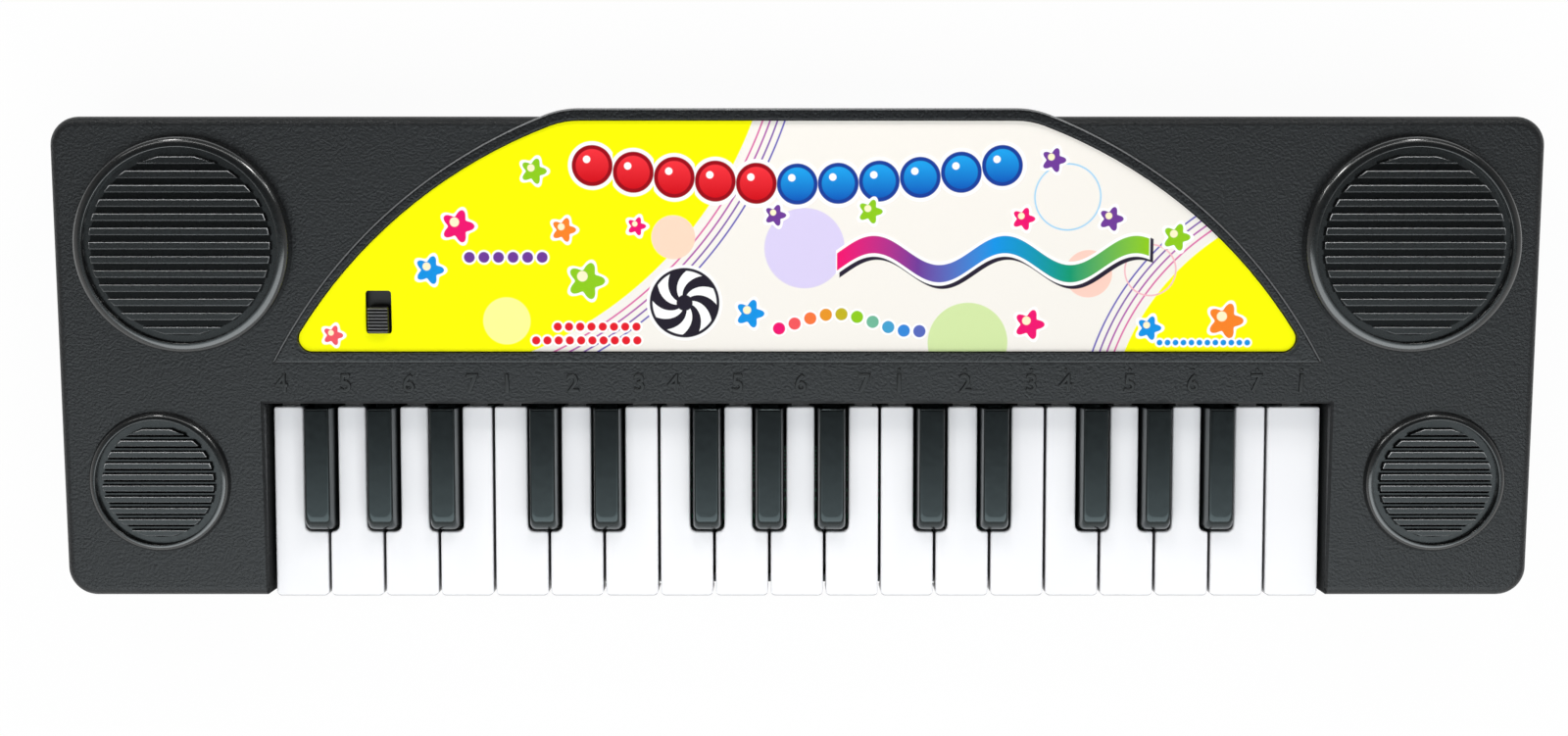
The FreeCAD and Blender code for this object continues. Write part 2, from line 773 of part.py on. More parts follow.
def contact(side, first, last, sprung):
    """A stamped plate on an end wall: a leaf for each sprung cell, a pressed stud for the others."""
    inner = side * (tub_x - contact_thickness)
    plate_half = cell_pitch / 2 - contact_margin
    high = z_contact + contact_height
    x0, x1 = sorted((side * tub_x, inner))
    plate = box(x0, x1, cell_ys[first] - plate_half, cell_ys[last] + plate_half, z_contact, high)
    pieces = []
    for y in cell_ys[first:last + 1]:
        if y in sprung:
            tip = inner - side * leaf_reach
            profile = [(inner, z_contact), (tip, z_cell), (inner, high), (inner, high - leaf_root),
                       (tip + side * contact_thickness, z_cell), (inner, z_contact + leaf_root)]
            wire = Part.makePolygon([V(x, y - leaf_width / 2, z) for x, z in profile + profile[:1]])
            pieces.append(Part.Face(wire).extrude(V(0, leaf_width, 0)))
        else:
            x0, x1 = sorted((inner, inner - side * stud_height))
            half = stud_width / 2
            pieces.append(box(x0, x1, y - half, y + half, z_cell - half, z_cell + half))
    return fused(plate, *pieces)


# The cells lie head to tail, so the plates at the two ends join them in one row
contacts = []
for k in range(0, cell_count, 2):
    last = min(k + 1, cell_count - 1)
    contacts.append(contact(1, k, last, cell_ys[k:k + 1]))
contacts.append(contact(-1, 0, 0, []))
for k in range(1, cell_count, 2):
    last = min(k + 1, cell_count - 1)
    contacts.append(contact(-1, k, last, cell_ys[k:k + 1]))
parts["battery_contacts"] = Part.makeCompound(contacts)


# Loudspeaker, face down on the floor inside a collar

speaker_x, speaker_y = rear_grille_x, rear_grille_y
z_cup = z_floor_top + speaker_flange_height
z_back = z_floor_top + speaker_depth
mouth_radius = speaker_width / 2 - speaker_flange
cup_width = speaker_width - speaker_flange
flange_plate = square_post(speaker_x, speaker_y, z_floor_top, z_cup, speaker_width)
cup = square_post(speaker_x, speaker_y, z_cup, z_back, cup_width)
well = post(speaker_x, speaker_y, z_floor_top, z_back - speaker_shell, mouth_radius)
parts["speaker_frame"] = fused(flange_plate, cup).cut(well)
z_cone = z_back - speaker_shell - cone_thickness
parts["speaker_cone"] = post(speaker_x, speaker_y, z_cone, z_cone + cone_thickness, mouth_radius - cone_clear)
parts["speaker_magnet"] = post(speaker_x, speaker_y, z_back, z_back + magnet_height, magnet_radius)


# Leads run at the level of the board's underside and end below its rear edge

z_lead = z_board - lead_thickness
y_lead = y_board1 - lead_overlap


def lead(x, y, start=y_lead):
    """A straight run of a lead from under the board, or from start, back to y."""
    return box(x - lead_width / 2, x + lead_width / 2, start, y, z_lead, z_board)


y_step = y_board1 + lead_inset
board_end = board_half - lead_width / 2 - lead_inset
speaker_edge = speaker_x - cup_width / 2 + lead_width / 2 + lead_inset
x0, x1 = sorted((board_end, speaker_edge))
step = box(x0 - lead_width / 2, x1 + lead_width / 2, y_step, y_step + lead_width, z_lead, z_board)
speaker_run = lead(speaker_edge, speaker_y - cup_width / 2, y_step)
parts["speaker_leads"] = fused(lead(board_end, y_step), step, speaker_run)

y_rise = board_s
riser = box(switch_x - lead_width / 2, switch_x + lead_width / 2,
            y_rise - lead_thickness, y_rise, z_board, z_high)
riser = riser.common(layer(-far, switch_board_low))
parts["switch_leads"] = fused(lead(switch_x, y_rise), riser)

# One battery lead goes to each end of the row, through a slot in the end wall of the bay
battery_leads = []
lead_slots = []
last_side = 1 if cell_count % 2 else -1
for side, y in ((-1, cell_ys[0]), (last_side, cell_ys[-1])):
    x_run = side * (tub_x + rim + lead_width / 2)
    x0, x1 = sorted((side * tub_x, x_run))
    crossing = box(x0, x1, y - lead_width / 2, y + lead_width / 2, z_lead, z_board)
    battery_leads.append(fused(lead(x_run, y + lead_width / 2), crossing))
    lead_slots.append(crossing)
parts["battery_leads"] = Part.makeCompound(battery_leads)


# Lower case

lower = rounded_plan(0, z_floor, part_height)
lower = lower.makeChamfer(bottom_chamfer, level_edges(lower, z_floor))
lower = lower.makeChamfer(parting_groove, level_edges(lower, part_height))
lower = lower.cut(rounded_plan(wall, z_floor_top, part_height))
lower = lower.cut(box(-bay_half, bay_half, y_front, y_front + 2 * wall, z_rail, part_height))
posts = [square_post(x, y, z_floor, part_height, boss_width) for x, y in screw_points]
sinks = [post(x, y, z_floor, z_seat, screw_head_radius + sink_clear) for x, y in screw_points]
shanks = [square_post(x, y, z_seat, part_height, 2 * (pilot + sink_clear)) for x, y in screw_points]
rest_xs = [k * (board_half - board_rest) / 2 for k in range(-2, 3)]
rests = [square_post(x, y_contact, z_floor_top, z_board, board_rest) for x in rest_xs]
collar_in = speaker_width + 2 * collar_gap
collar_top = z_floor_top + collar_height
collar = square_post(speaker_x, speaker_y, z_floor_top, collar_top, collar_in + 2 * collar_wall)
collar = collar.cut(square_post(speaker_x, speaker_y, z_floor_top, collar_top, collar_in))
slots = []
for k in range(slot_count):
    y = speaker_y + (k - (slot_count - 1) / 2) * slot_pitch
    span = math.sqrt(mouth_radius ** 2 - (y - speaker_y) ** 2) - slot_margin
    y0, y1 = y - slot_width / 2, y + slot_width / 2
    slots.append(box(speaker_x - span, speaker_x + span, y0, y1, z_floor, z_floor_top))
feet = []
for side in (-1, 1):
    for y in (y_front + foot_inset, y_rear - foot_inset):
        x = side * (case_half - foot_side_inset)
        x0, x1 = x - foot_length / 2, x + foot_length / 2
        feet.append(box(x0, x1, y - foot_width / 2, y + foot_width / 2, 0, z_floor))
lower = lower.fuse(posts + rests + [collar, tub, ledge_frame] + feet)
lower = lower.cut(sinks + shanks + slots + lead_slots + [cell_space, opening] + tongue_notches)
parts["lower_case"] = lower.removeSplitter()


os.makedirs("parts", exist_ok=True)
for name, shape in parts.items():
    shape.exportStep(f"parts/{name}.step")
print(f"{len(parts)} nodes, knob travel {knob_travel:.2f}, key angle "
      f"{math.degrees(math.asin(key_travel / (y_pivot - y_key_front))):.3f} degrees")
print(f"key axis at Y {y_pivot:.2f}, Z {z_pivot:.2f}; door axis at Y {y_hinge:.2f}, Z {z_hinge:.2f}")
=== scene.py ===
import math

import bpy
import numpy as np
from mathutils import Matrix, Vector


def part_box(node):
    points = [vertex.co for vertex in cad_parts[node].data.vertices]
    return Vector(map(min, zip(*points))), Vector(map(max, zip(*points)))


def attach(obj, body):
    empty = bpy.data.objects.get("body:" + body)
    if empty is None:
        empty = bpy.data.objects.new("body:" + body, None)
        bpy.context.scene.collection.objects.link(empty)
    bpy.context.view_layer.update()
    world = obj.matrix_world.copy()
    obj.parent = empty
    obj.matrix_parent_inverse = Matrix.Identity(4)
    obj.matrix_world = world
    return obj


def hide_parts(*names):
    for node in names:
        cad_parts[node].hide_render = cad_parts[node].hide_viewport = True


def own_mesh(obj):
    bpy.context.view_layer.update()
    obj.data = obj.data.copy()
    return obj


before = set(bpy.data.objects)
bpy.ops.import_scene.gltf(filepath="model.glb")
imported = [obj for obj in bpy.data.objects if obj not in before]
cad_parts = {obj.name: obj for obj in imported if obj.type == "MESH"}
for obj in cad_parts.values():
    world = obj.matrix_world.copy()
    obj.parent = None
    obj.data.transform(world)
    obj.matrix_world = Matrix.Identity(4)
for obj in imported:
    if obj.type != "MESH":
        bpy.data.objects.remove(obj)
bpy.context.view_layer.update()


# Lower case: a tray moulded in charcoal ABS from a spark-eroded mould, so its skin is a fine dull grain.
# It carries the posts, the battery bay and the collar of the loudspeaker, and stands on four moulded bars.
# The upper case has the same skin; the walls at both ends of its key bay are painted nearly black and rough as
# painted shade.

class Wire:
    """One output of a shader node; arithmetic with it adds Math nodes to the same finish."""

    def __init__(self, finish, socket):
        self.finish = finish
        self.socket = socket

    def maths(self, operation, first, second=0.0, clamp=False):
        """Adds one Math node."""
        settings = {"operation": operation, "use_clamp": clamp}
        return self.finish.node("ShaderNodeMath", settings, {0: first, 1: second})

    def __add__(self, other):
        return self.maths("ADD", self, other)

    def __sub__(self, other):
        return self.maths("SUBTRACT", self, other)

    def __rsub__(self, other):
        return self.maths("SUBTRACT", other, self)

    def __mul__(self, other):
        return self.maths("MULTIPLY", self, other)

    def __truediv__(self, other):
        return self.maths("DIVIDE", self, other)

    def __lt__(self, other):
        return self.maths("LESS_THAN", self, other)

    def __gt__(self, other):
        return self.maths("GREATER_THAN", self, other)

    def __abs__(self):
        return self.maths("ABSOLUTE", self)

    def fraction(self):
        return self.maths("FRACT", self)

    def sine(self):
        return self.maths("SINE", self)

    def bearing(self, across):
        """The angle of a vector, from this part of it and the part across."""
        return self.maths("ARCTAN2", self, across)

    def whole(self, low, high):
        """The whole number below, kept between two limits."""
        floor = self.maths("FLOOR", self)
        return self.maths("MAXIMUM", self.maths("MINIMUM", floor, high), low)

    def clamped(self):
        """The value kept between 0 and 1."""
        return self.maths("ADD", self, 0.0, True)

    __radd__ = __add__
    __rmul__ = __mul__


class Finish:
    """The node tree of a material or world; constants go straight onto its shader's sockets."""

    def __init__(self, owner, shader="Principled BSDF", constants=None):
        owner.use_nodes = True
        self.owner = owner
        self.tree = owner.node_tree
        self.shader = self.tree.nodes[shader]
        self.feed(constants or {})

    def node(self, kind, settings, sockets, output=0):
        """Adds one node: settings first, then a value or a Wire for each named socket. Gives one output."""
        made = self.tree.nodes.new(kind)
        stops = settings.pop("stops", [])
        for key, value in settings.items():
            setattr(made, key, value)
        for position, colour in stops:
            ends = made.color_ramp.elements
            stop = ends[0] if position == 0 else ends[-1] if position == 1 else ends.new(position)
            stop.color = colour
        for key, value in sockets.items():
            self.put(made.inputs[key], value)
        return Wire(self, made.outputs[output])

    def put(self, socket, value):
        """Links a Wire to a socket, or sets the socket's own value."""
        if isinstance(value, Wire):
            self.tree.links.new(value.socket, socket)
        else:
            socket.default_value = value

    def feed(self, sockets):
        """Links or sets the shader's sockets by name."""
        for key, value in sockets.items():
            self.put(self.shader.inputs[key], value)
        return self

    def place(self):
        """Object coordinates of the piece, in metres."""
        return self.node("ShaderNodeTexCoord", {}, {}, "Object")

    def parts(self, vector, axes):
        """The named parts of a vector."""
        return [self.node("ShaderNodeSeparateXYZ", {}, {0: vector}, axis) for axis in axes]

    def at(self, axes):
        """The named coordinates of a point of the piece, in millimetres."""
        return [part * 1000 for part in self.parts(self.place(), axes)]

    def facing(self, axes):
        """The named parts of the direction that the surface faces."""
        return self.parts(self.node("ShaderNodeNewGeometry", {}, {}, "Normal"), axes)

    def noise(self, size, detail=2.0):
        """Cloudy values from 0 to 1 whose lumps are about size millimetres wide."""
        return self.node("ShaderNodeTexNoise", {}, {"Vector": self.place(), "Scale": 1000 / size, "Detail": detail})

    def blend(self, share, below, above):
        """The colour above laid over the one below by share."""
        return self.node("ShaderNodeMix", {"data_type": "RGBA"}, {0: share, 6: below, 7: above}, 2)

    def relief(self, height, depth):
        """A normal for a height field of this depth in millimetres."""
        return self.node("ShaderNodeBump", {}, {"Strength": 1.0, "Distance": depth / 1000, "Height": height})


def ink(red, green, blue):
    """A colour written in screen values from 0 to 255, as the linear colour that a shader takes."""
    share = np.array([red, green, blue]) / 255
    linear = np.where(share > 0.04045, ((share + 0.055) / 1.055) ** 2.4, share / 12.92)
    return (*linear.tolist(), 1.0)


def finish(name, **constants):
    """A new material with its constant sockets."""
    named = {key.replace("_", " "): value for key, value in constants.items()}
    return Finish(bpy.data.materials.new(name), constants=named)


def dress(surface, *names):
    """Gives CAD nodes their finish."""
    for name in names:
        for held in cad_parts[name].material_slots:
            held.material = surface.owner


cloud_size, grain_detail, grain_dulls = 38.0, 3.0, 0.16


def moulded(name, dark, light, gloss, grain_size, grain_depth, **constants):
    """Moulded plastic: two near tones in slow clouds, and an eroded grain that also breaks up the gloss.
    Its tone and dullness are kept for the pieces that lay painted shade or painted highlights over them."""
    made = finish(name, **constants)
    grain = made.noise(grain_size, grain_detail)
    made.tone = made.blend(made.noise(cloud_size), ink(*dark), ink(*light))
    made.dullness = gloss + grain_dulls * grain
    return made.feed({
        "Base Color": made.tone,
        "Roughness": made.dullness,
        "Normal": made.relief(grain, grain_depth),
    })


case_dark, case_light, case_grain = (19, 20, 22), (23, 24, 26), 0.7
case_sheen = {"Specular_IOR_Level": 0.42, "Specular_Tint": (0.93, 0.99, 1.0, 1.0)}
case_grey = moulded("case_grey_abs", case_dark, case_light, 0.34, case_grain, 0.2, **case_sheen)
bay_end, bay_room, bay_rear, bay_top = 148, 6, -14, 29.6
bay_steep, bay_shade, bay_dulls = 0.7, 0.85, 0.5
case_across, = case_grey.facing("X")
case_x, case_y, case_z = case_grey.at("XYZ")
# Painted shade: the steep walls at both ends of the key bay are painted nearly black, for the shade inside the bay.
in_bay = (abs(abs(case_x) - bay_end) < bay_room) * (case_y < bay_rear) * (case_z < bay_top)
bay_painted_shade = (abs(case_across) > bay_steep) * in_bay
case_grey.feed({
    "Base Color": case_grey.blend(bay_painted_shade * bay_shade, case_grey.tone, ink(3, 3, 4)),
    "Roughness": case_grey.dullness + bay_dulls * bay_painted_shade,
})
dress(case_grey, "lower_case")


# Loudspeaker: a square pressed-steel basket that lies face down in the collar, with a ferrite magnet on its back.
# The cone is a thin dark film with pressed rings, glued in at its rim, and is seen through the slots in the floor.

basket_steel = finish("basket_steel", Metallic=0.85)
basket_steel.feed({
    "Base Color": basket_steel.blend(basket_steel.noise(6.0), ink(120, 121, 122), ink(150, 151, 150)),
    "Roughness": 0.32 + 0.2 * basket_steel.noise(2.0),
})
dress(basket_steel, "speaker_frame")

ferrite = finish("sintered_ferrite")
ferrite_grain = ferrite.noise(0.7, 4.0)
ferrite.feed({
    "Base Color": ferrite.blend(ferrite_grain, ink(34, 33, 34), ink(58, 57, 57)),
    "Roughness": 0.6 + 0.25 * ferrite_grain,
    "Normal": ferrite.relief(ferrite_grain, 0.06),
})
dress(ferrite, "speaker_magnet")

cone_film = finish("cone_film")
cone_low, cone_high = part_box("speaker_cone")
cone_middle, cone_pitch = tuple((cone_low + cone_high) / 2), 0.0021
cone_ring = cone_film.node("ShaderNodeVectorMath", {"operation": "DISTANCE"},
                           {0: cone_film.place(), 1: cone_middle}, "Value")
cone_wave = (cone_ring * (2 * math.pi / cone_pitch)).sine() * 0.5 + 0.5
cone_film.feed({
    "Base Color": cone_film.blend(cone_wave, ink(30, 30, 33), ink(52, 52, 56)),
    "Roughness": 0.34 + 0.1 * cone_wave,
    "Normal": cone_film.relief(cone_wave, 0.25),
})
dress(cone_film, "speaker_cone")


# Battery bay: nickel-plated strip contacts pushed into the end walls, and a door moulded like the case.
# The door hooks in with two tongues and swings on its rounded front edge.

contact_nickel = finish("nickel_plate", Metallic=1.0)
contact_nickel.feed({
    "Base Color": contact_nickel.blend(contact_nickel.noise(3.0), ink(176, 174, 168), ink(205, 203, 197)),
    "Roughness": 0.2 + 0.25 * contact_nickel.noise(1.2),
})
dress(contact_nickel, "battery_contacts")
dress(case_grey, "battery_door")


# Main board: a long strip of glass fibre under green lacquer, clamped between the two halves of the case.
# Fine copper lines run along it in front of the rubber strip, and the chip is soldered to its underside.

board_green = finish("lacquered_board", Coat_Weight=0.4, Coat_Roughness=0.2)
board_y, = board_green.at("Y")
trace_pitch, trace_share, trace_front, trace_rear = 1.2, 0.42, -37.4, -27.4
in_band = (board_y > trace_front) * (board_y < trace_rear)
copper = ((board_y / trace_pitch).fraction() < trace_share) * in_band
for bus_y, bus_half in ((-47.5, 0.8), (-42.4, 0.45), (-40.0, 0.45)):
    copper = copper + (abs(board_y - bus_y) < bus_half)
copper = copper.clamped()
board_green.feed({
    "Base Color": board_green.blend(copper, ink(12, 66, 44), ink(38, 132, 92)),
    "Roughness": 0.4 - 0.1 * copper,
    "Normal": board_green.relief(copper, 0.04),
})
dress(board_green, "circuit_board")

chip_resin = moulded("chip_resin", (24, 24, 26), (31, 31, 33), 0.5, 0.3, 0.02)
dress(chip_resin, "sound_chip")

lead_vinyl = finish("lead_vinyl")
lead_vinyl.feed({
    "Base Color": lead_vinyl.blend(lead_vinyl.noise(9.0), ink(150, 34, 30), ink(171, 44, 38)),
    "Roughness": 0.38 + 0.2 * lead_vinyl.noise(1.5),
})
dress(lead_vinyl, "speaker_leads", "battery_leads", "switch_leads")


# Contact strip: one sheet of black silicone rubber with a hollow dome under each key, which pushes the key back up.
# It lies on the board; each dome flattens when its key goes down, and each is a piece of its own.

notes = "FGABCDEFGABCDEFGABC"
key_pitch, key_gap = 15.5, 0.8
sharp_shift = {"F": -2.0, "G": 0.0, "A": 2.0, "C": -1.2, "D": 1.2}
key_front, key_rear = -68.05, -14.45
white_top, skirt, apron = 26.0, 18.0, 13.0
black_width, black_clear, black_length = 8.3, 0.65, 34.6
black_front = key_rear - black_length
shoulder = black_front - black_clear


def boundary(i):
    """X of the gap before white key i."""
    return (i - len(notes) / 2) * key_pitch


sharps = [i for i in range(len(notes) - 1) if notes[i] in sharp_shift]
black_at = {i: boundary(i + 1) + sharp_shift[notes[i]] for i in sharps}


def stem(i):
    """Left and right X of the narrow rear part of white key i, which makes room for the black keys."""
    notch = black_width / 2 + black_clear
    left = black_at[i - 1] + notch if i - 1 in black_at else boundary(i) + key_gap / 2
    right = black_at[i] - notch if i in black_at else boundary(i + 1) - key_gap / 2
    return left, right


sharpest = 0.12


def outline(corners, radii, inset=0.0, steps=6):
    """Counter-clockwise right-angled outline drawn in by inset, its corners rounded.
    With n1, n2 the inward normals of the sides that meet, the inset corner is q = p + inset (n1 + n2). The arc is
    c - r (cos t n1 + sin t n2) about c = q + r (n1 + n2), and r changes sign where the corner turns inwards."""
    corners = np.asarray(corners, float)
    ahead = np.roll(corners, -1, 0) - corners
    ahead /= np.linalg.norm(ahead, axis=1, keepdims=True)
    n2 = np.stack([-ahead[:, 1], ahead[:, 0]], 1)
    n1 = np.roll(n2, 1, 0)
    turn = np.sign(n1[:, 0] * n2[:, 1] - n1[:, 1] * n2[:, 0])
    reach = np.maximum(np.asarray(radii, float) - turn * inset, sharpest) * turn
    centre = corners + (inset + reach)[:, None] * (n1 + n2)
    t = np.linspace(0, math.pi / 2, steps)
    arc = np.cos(t)[None, :, None] * n1[:, None] + np.sin(t)[None, :, None] * n2[:, None]
    return (centre[:, None] - reach[:, None, None] * arc).reshape(-1, 2)


def level(plan, z):
    """A plan outline set at height z."""
    return np.column_stack([plan, np.full(len(plan), z)])


def loft(rings, closed=False):
    """Skin over a stack of closed rings: point (i, j) joins (i, j + 1) and (i + 1, j). Flat lids close the two ends,
    or the last ring joins the first. Counter-clockwise rings that go upwards face outwards."""
    rings = np.asarray(rings, float)
    count, around = rings.shape[:2]
    index = np.arange(count * around).reshape(count, around)
    high = np.roll(index, -1, 0) if closed else index[1:]
    low = index if closed else index[:-1]
    quads = np.stack([low, np.roll(low, -1, 1), np.roll(high, -1, 1), high], -1).reshape(-1, 4)
    return rings.reshape(-1, 3), quads, [] if closed else [index[0, ::-1], index[-1]]


def piece(name, body, surface, shells, replaced=(), crease=38):
    """One object at the origin from closed shells in millimetres, riding on a body."""
    points, faces, first = [], [], 0
    for corners, quads, lids in shells:
        points.append(corners)
        faces += (quads + first).tolist() + [(lid + first).tolist() for lid in lids]
        first += len(corners)
    mesh = bpy.data.meshes.new(name)
    mesh.from_pydata((np.concatenate(points) / 1000).tolist(), [], faces)
    mesh.shade_smooth()
    mesh.set_sharp_from_angle(angle=math.radians(crease))
    mesh.materials.append(surface.owner)
    made = bpy.data.objects.new(name, mesh)
    bpy.context.scene.collection.objects.link(made)
    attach(made, body)
    if replaced:
        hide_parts(*replaced)
    return made


def edge_turn(radius, steps=6):
    """Inset and height of a quarter-round edge: radius (1 - cos t) and radius sin t. A flat rim, a twelfth of the
    radius wide, keeps the shading of the lid level."""
    t = np.linspace(0, math.pi / 2, steps)
    inset = np.append(radius * (1 - np.cos(t)), radius * 1.08)
    return list(zip(inset, np.append(radius * np.sin(t), radius)))


silicone = finish("silicone_rubber")
silicone_dust = silicone.noise(1.4, 4.0)
silicone.feed({
    "Base Color": silicone.blend(silicone_dust, ink(21, 21, 22), ink(33, 33, 34)),
    "Roughness": 0.62 + 0.25 * silicone_dust,
    "Normal": silicone.relief(silicone_dust, 0.02),
})
strip_wide, strip_half, strip_ahead = 12.0, 147.25, 6.5
strip_y = key_rear - strip_ahead
board_top, strip_top, dome_top = 11.0, 12.0, 16.0
dome_wide, dome_long, dome_corner, dome_flare, dome_edge, dome_sunk = 6.2, 9.0, 2.4, 0.7, 0.6, 0.2
sheet_corner, sheet_edge = 1.5, 0.3


def rectangle(x0, x1, y0, y1):
    """The four corners of a rectangle, counter-clockwise."""
    return [(x0, y0), (x1, y0), (x1, y1), (x0, y1)]


def dome(x):
    """A rounded block on a flared foot: its plan is drawn in by 0.7 t^0.4 as it rises, and its edge turns over."""
    plan = rectangle(x - dome_wide / 2, x + dome_wide / 2, strip_y - dome_long / 2, strip_y + dome_long / 2)
    t = np.linspace(0, 1, 7)
    foot, neck = strip_top - dome_sunk, dome_top - dome_edge
    rise = list(zip(dome_flare * t ** 0.4, foot + (neck - foot) * t))
    crown = [(dome_flare + inset, neck + height) for inset, height in edge_turn(dome_edge)]
    return loft([level(outline(plan, [dome_corner] * 4, inset), z) for inset, z in rise + crown[1:]])


sheet_plan = rectangle(-strip_half, strip_half, strip_y - strip_wide / 2, strip_y + strip_wide / 2)
sheet_edges = [(0.0, board_top)]
sheet_edges += [(inset, strip_top - sheet_edge + height) for inset, height in edge_turn(sheet_edge)]
sheet_rings = [level(outline(sheet_plan, [sheet_corner] * 4, inset), z) for inset, z in sheet_edges]
piece("rubber_sheet", "case", silicone, [loft(sheet_rings)], ["contact_strip"])
dome_places = {f"white_key_{i + 1:02d}": sum(stem(i)) / 2 for i in range(len(notes))}
dome_places.update({f"black_key_{k + 1:02d}": black_at[i] for k, i in enumerate(sharps)})
for key, x in dome_places.items():
    made = piece(f"dome_of_{key}", "case", silicone, [dome(x)])
    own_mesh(made)


# Rod: a drawn steel wire, 2 mm thick, with a bright skin.
# It snaps into seven hangers of the upper case, and all the keys turn on it.

drawn_steel = finish("drawn_steel", Metallic=1.0)
drawn_steel.feed({
    "Base Color": drawn_steel.blend(drawn_steel.noise(7.0), ink(146, 147, 149), ink(172, 173, 174)),
    "Roughness": 0.24 + 0.2 * drawn_steel.noise(1.0),
})
dress(drawn_steel, "pivot_rod")


# White keys: hollow ABS caps, glossy from a polished mould, with a deep apron; their sides in the gaps and their
# front edges are painted darker as painted shade.
# Behind each cap a bar hooks over the rod, and a rib under the roof presses the rubber dome.

key_wall, key_roof, white_edge = 1.4, 1.8, 0.55
front_corner, rear_corner, notch_corner, lip_chamfer = 1.3, 0.7, 1.7, 0.5
pivot_y, pivot_z, rod_room = 8.55, 20.2, 1.05
tail_wide, tail_low, tail_top, tail_end, tail_chamfer = 5.0, 17.9, 22.5, 11.35, 0.6
press_low, press_half = 16.3, 2

key_white = finish("polished_white_abs", Coat_Weight=0.15, Coat_Roughness=0.08)
white_cloud = key_white.noise(24.0)
white_tone = key_white.blend(white_cloud, ink(243, 243, 246), ink(249, 249, 251))
key_y, key_z = key_white.at("YZ")
across, ahead = key_white.facing("XY")
# Painted shade: the key sides darken below the top edge where they face each other across the gaps.
gap_shade_side, gap_shade_below, gap_shade_fade, gap_shade_share, gap_shade_front_clear = 0.6, 0.4, 0.8, 0.8, 0.1
edge_shade_lean, edge_shade_share = -0.35, 0.55
gap_painted_shade = (abs(across) > gap_shade_side) * ((white_top - gap_shade_below - key_z) * gap_shade_fade).clamped()
gap_painted_shade = gap_painted_shade * (key_y > key_front + gap_shade_front_clear)
# Painted shade: a thin grey line along the rounded front edge of each key's top.
edge_painted_shade = (ahead < edge_shade_lean) * (key_z > white_top - white_edge)
key_white.feed({
    "Base Color": key_white.blend(gap_painted_shade * gap_shade_share + edge_painted_shade * edge_shade_share, white_tone, ink(70, 70, 72)),
    "Roughness": 0.26 + 0.1 * key_white.noise(2.5),
    "Normal": key_white.relief(key_white.noise(5.0), 0.012),
})


def bar(profile, x0, x1):
    """A profile in Y and Z carried along X."""
    profile = np.asarray(profile, float)
    return loft([np.column_stack([np.full(len(profile), x), profile]) for x in (x0, x1)])


def tail(x, roof):
    """The bar with its slot over the rod, and the rib that presses the dome."""
    x0, x1 = x - tail_wide / 2, x + tail_wide / 2
    front, slot0, slot1 = key_rear - key_wall, pivot_y - rod_room, pivot_y + rod_room
    hook = [(front, tail_low), (slot0, tail_low), (slot0, pivot_z + rod_room), (slot1, pivot_z + rod_room),
            (slot1, tail_low), (tail_end - tail_chamfer, tail_low), (tail_end, tail_low + tail_chamfer),
            (tail_end, tail_top - tail_chamfer), (tail_end - tail_chamfer, tail_top), (front, tail_top)]
    rib = rectangle(strip_y - press_half, strip_y + press_half, press_low, roof)
    return [bar(hook, x0, x1), bar(rib, x0, x1)]


def white_key(i):
    """The cap's skin runs from the hollow's roof down its walls, over the rim and up the outside to the rounded top.
    A lip carries its front wall further down."""
    left, right = boundary(i) + key_gap / 2, boundary(i + 1) - key_gap / 2
    stem_left, stem_right = stem(i)
    corners, radii = [(left, key_front), (right, key_front)], [front_corner, front_corner]
    if i in black_at:
        corners += [(right, shoulder), (stem_right, shoulder)]
        radii += [rear_corner, notch_corner]
    corners += [(stem_right, key_rear), (stem_left, key_rear)]
    radii += [rear_corner, rear_corner]
    if i - 1 in black_at:
        corners += [(stem_left, shoulder), (left, shoulder)]
        radii += [notch_corner, rear_corner]
    walls = [(key_wall, white_top - key_roof), (key_wall, skirt), (0.0, skirt)]
    crown = [(inset, white_top - white_edge + height) for inset, height in edge_turn(white_edge)]
    cap = loft([level(outline(corners, radii, inset), z) for inset, z in walls + crown])
    front = rectangle(left, right, key_front, key_front + key_wall)
    lower = [(lip_chamfer, apron), (0.0, apron + lip_chamfer), (0.0, skirt)]
    lip_radii = [front_corner, front_corner, sharpest, sharpest]
    lip = loft([level(outline(front, lip_radii, inset), z) for inset, z in lower])
    return [cap, lip] + tail((stem_left + stem_right) / 2, white_top - key_roof / 2)


for i in range(len(notes)):
    name = f"white_key_{i + 1:02d}"
    piece(f"{name}_moulding", name, key_white, white_key(i), [name])


# Black keys: hollow ABS caps in glossy black, with drafted sides, a front that leans back and rounded top edges.
# They stand 5.5 mm over the white ones and have the same bar and rib behind and below.

key_black = finish("polished_black_abs", Specular_IOR_Level=0.58, Specular_Tint=(0.78, 0.97, 1.0, 1.0))
black_cloud = key_black.noise(18.0)
key_black.feed({
    "Base Color": key_black.blend(black_cloud, ink(10, 11, 12), ink(14, 15, 16)),
    "Roughness": 0.13 + 0.05 * key_black.noise(2.0),
    "Normal": key_black.relief(key_black.noise(4.0), 0.012),
})
black_top, black_bevel, black_draft, front_slope, front_lean = 31.5, 0.8, 0.65, 2.4, 4.2
outer_round, hollow_round, black_rear_round = 1.6, 0.3, 0.4


def black_ring(x, z, side, front, rear, front_round=outer_round):
    """A plan with its sides, front and rear drawn in by their own amounts, rounded more at the front."""
    plan = rectangle(x - black_width / 2 + side, x + black_width / 2 - side, black_front + front, key_rear - rear)
    return level(outline(plan, [front_round, front_round, black_rear_round, black_rear_round]), z)


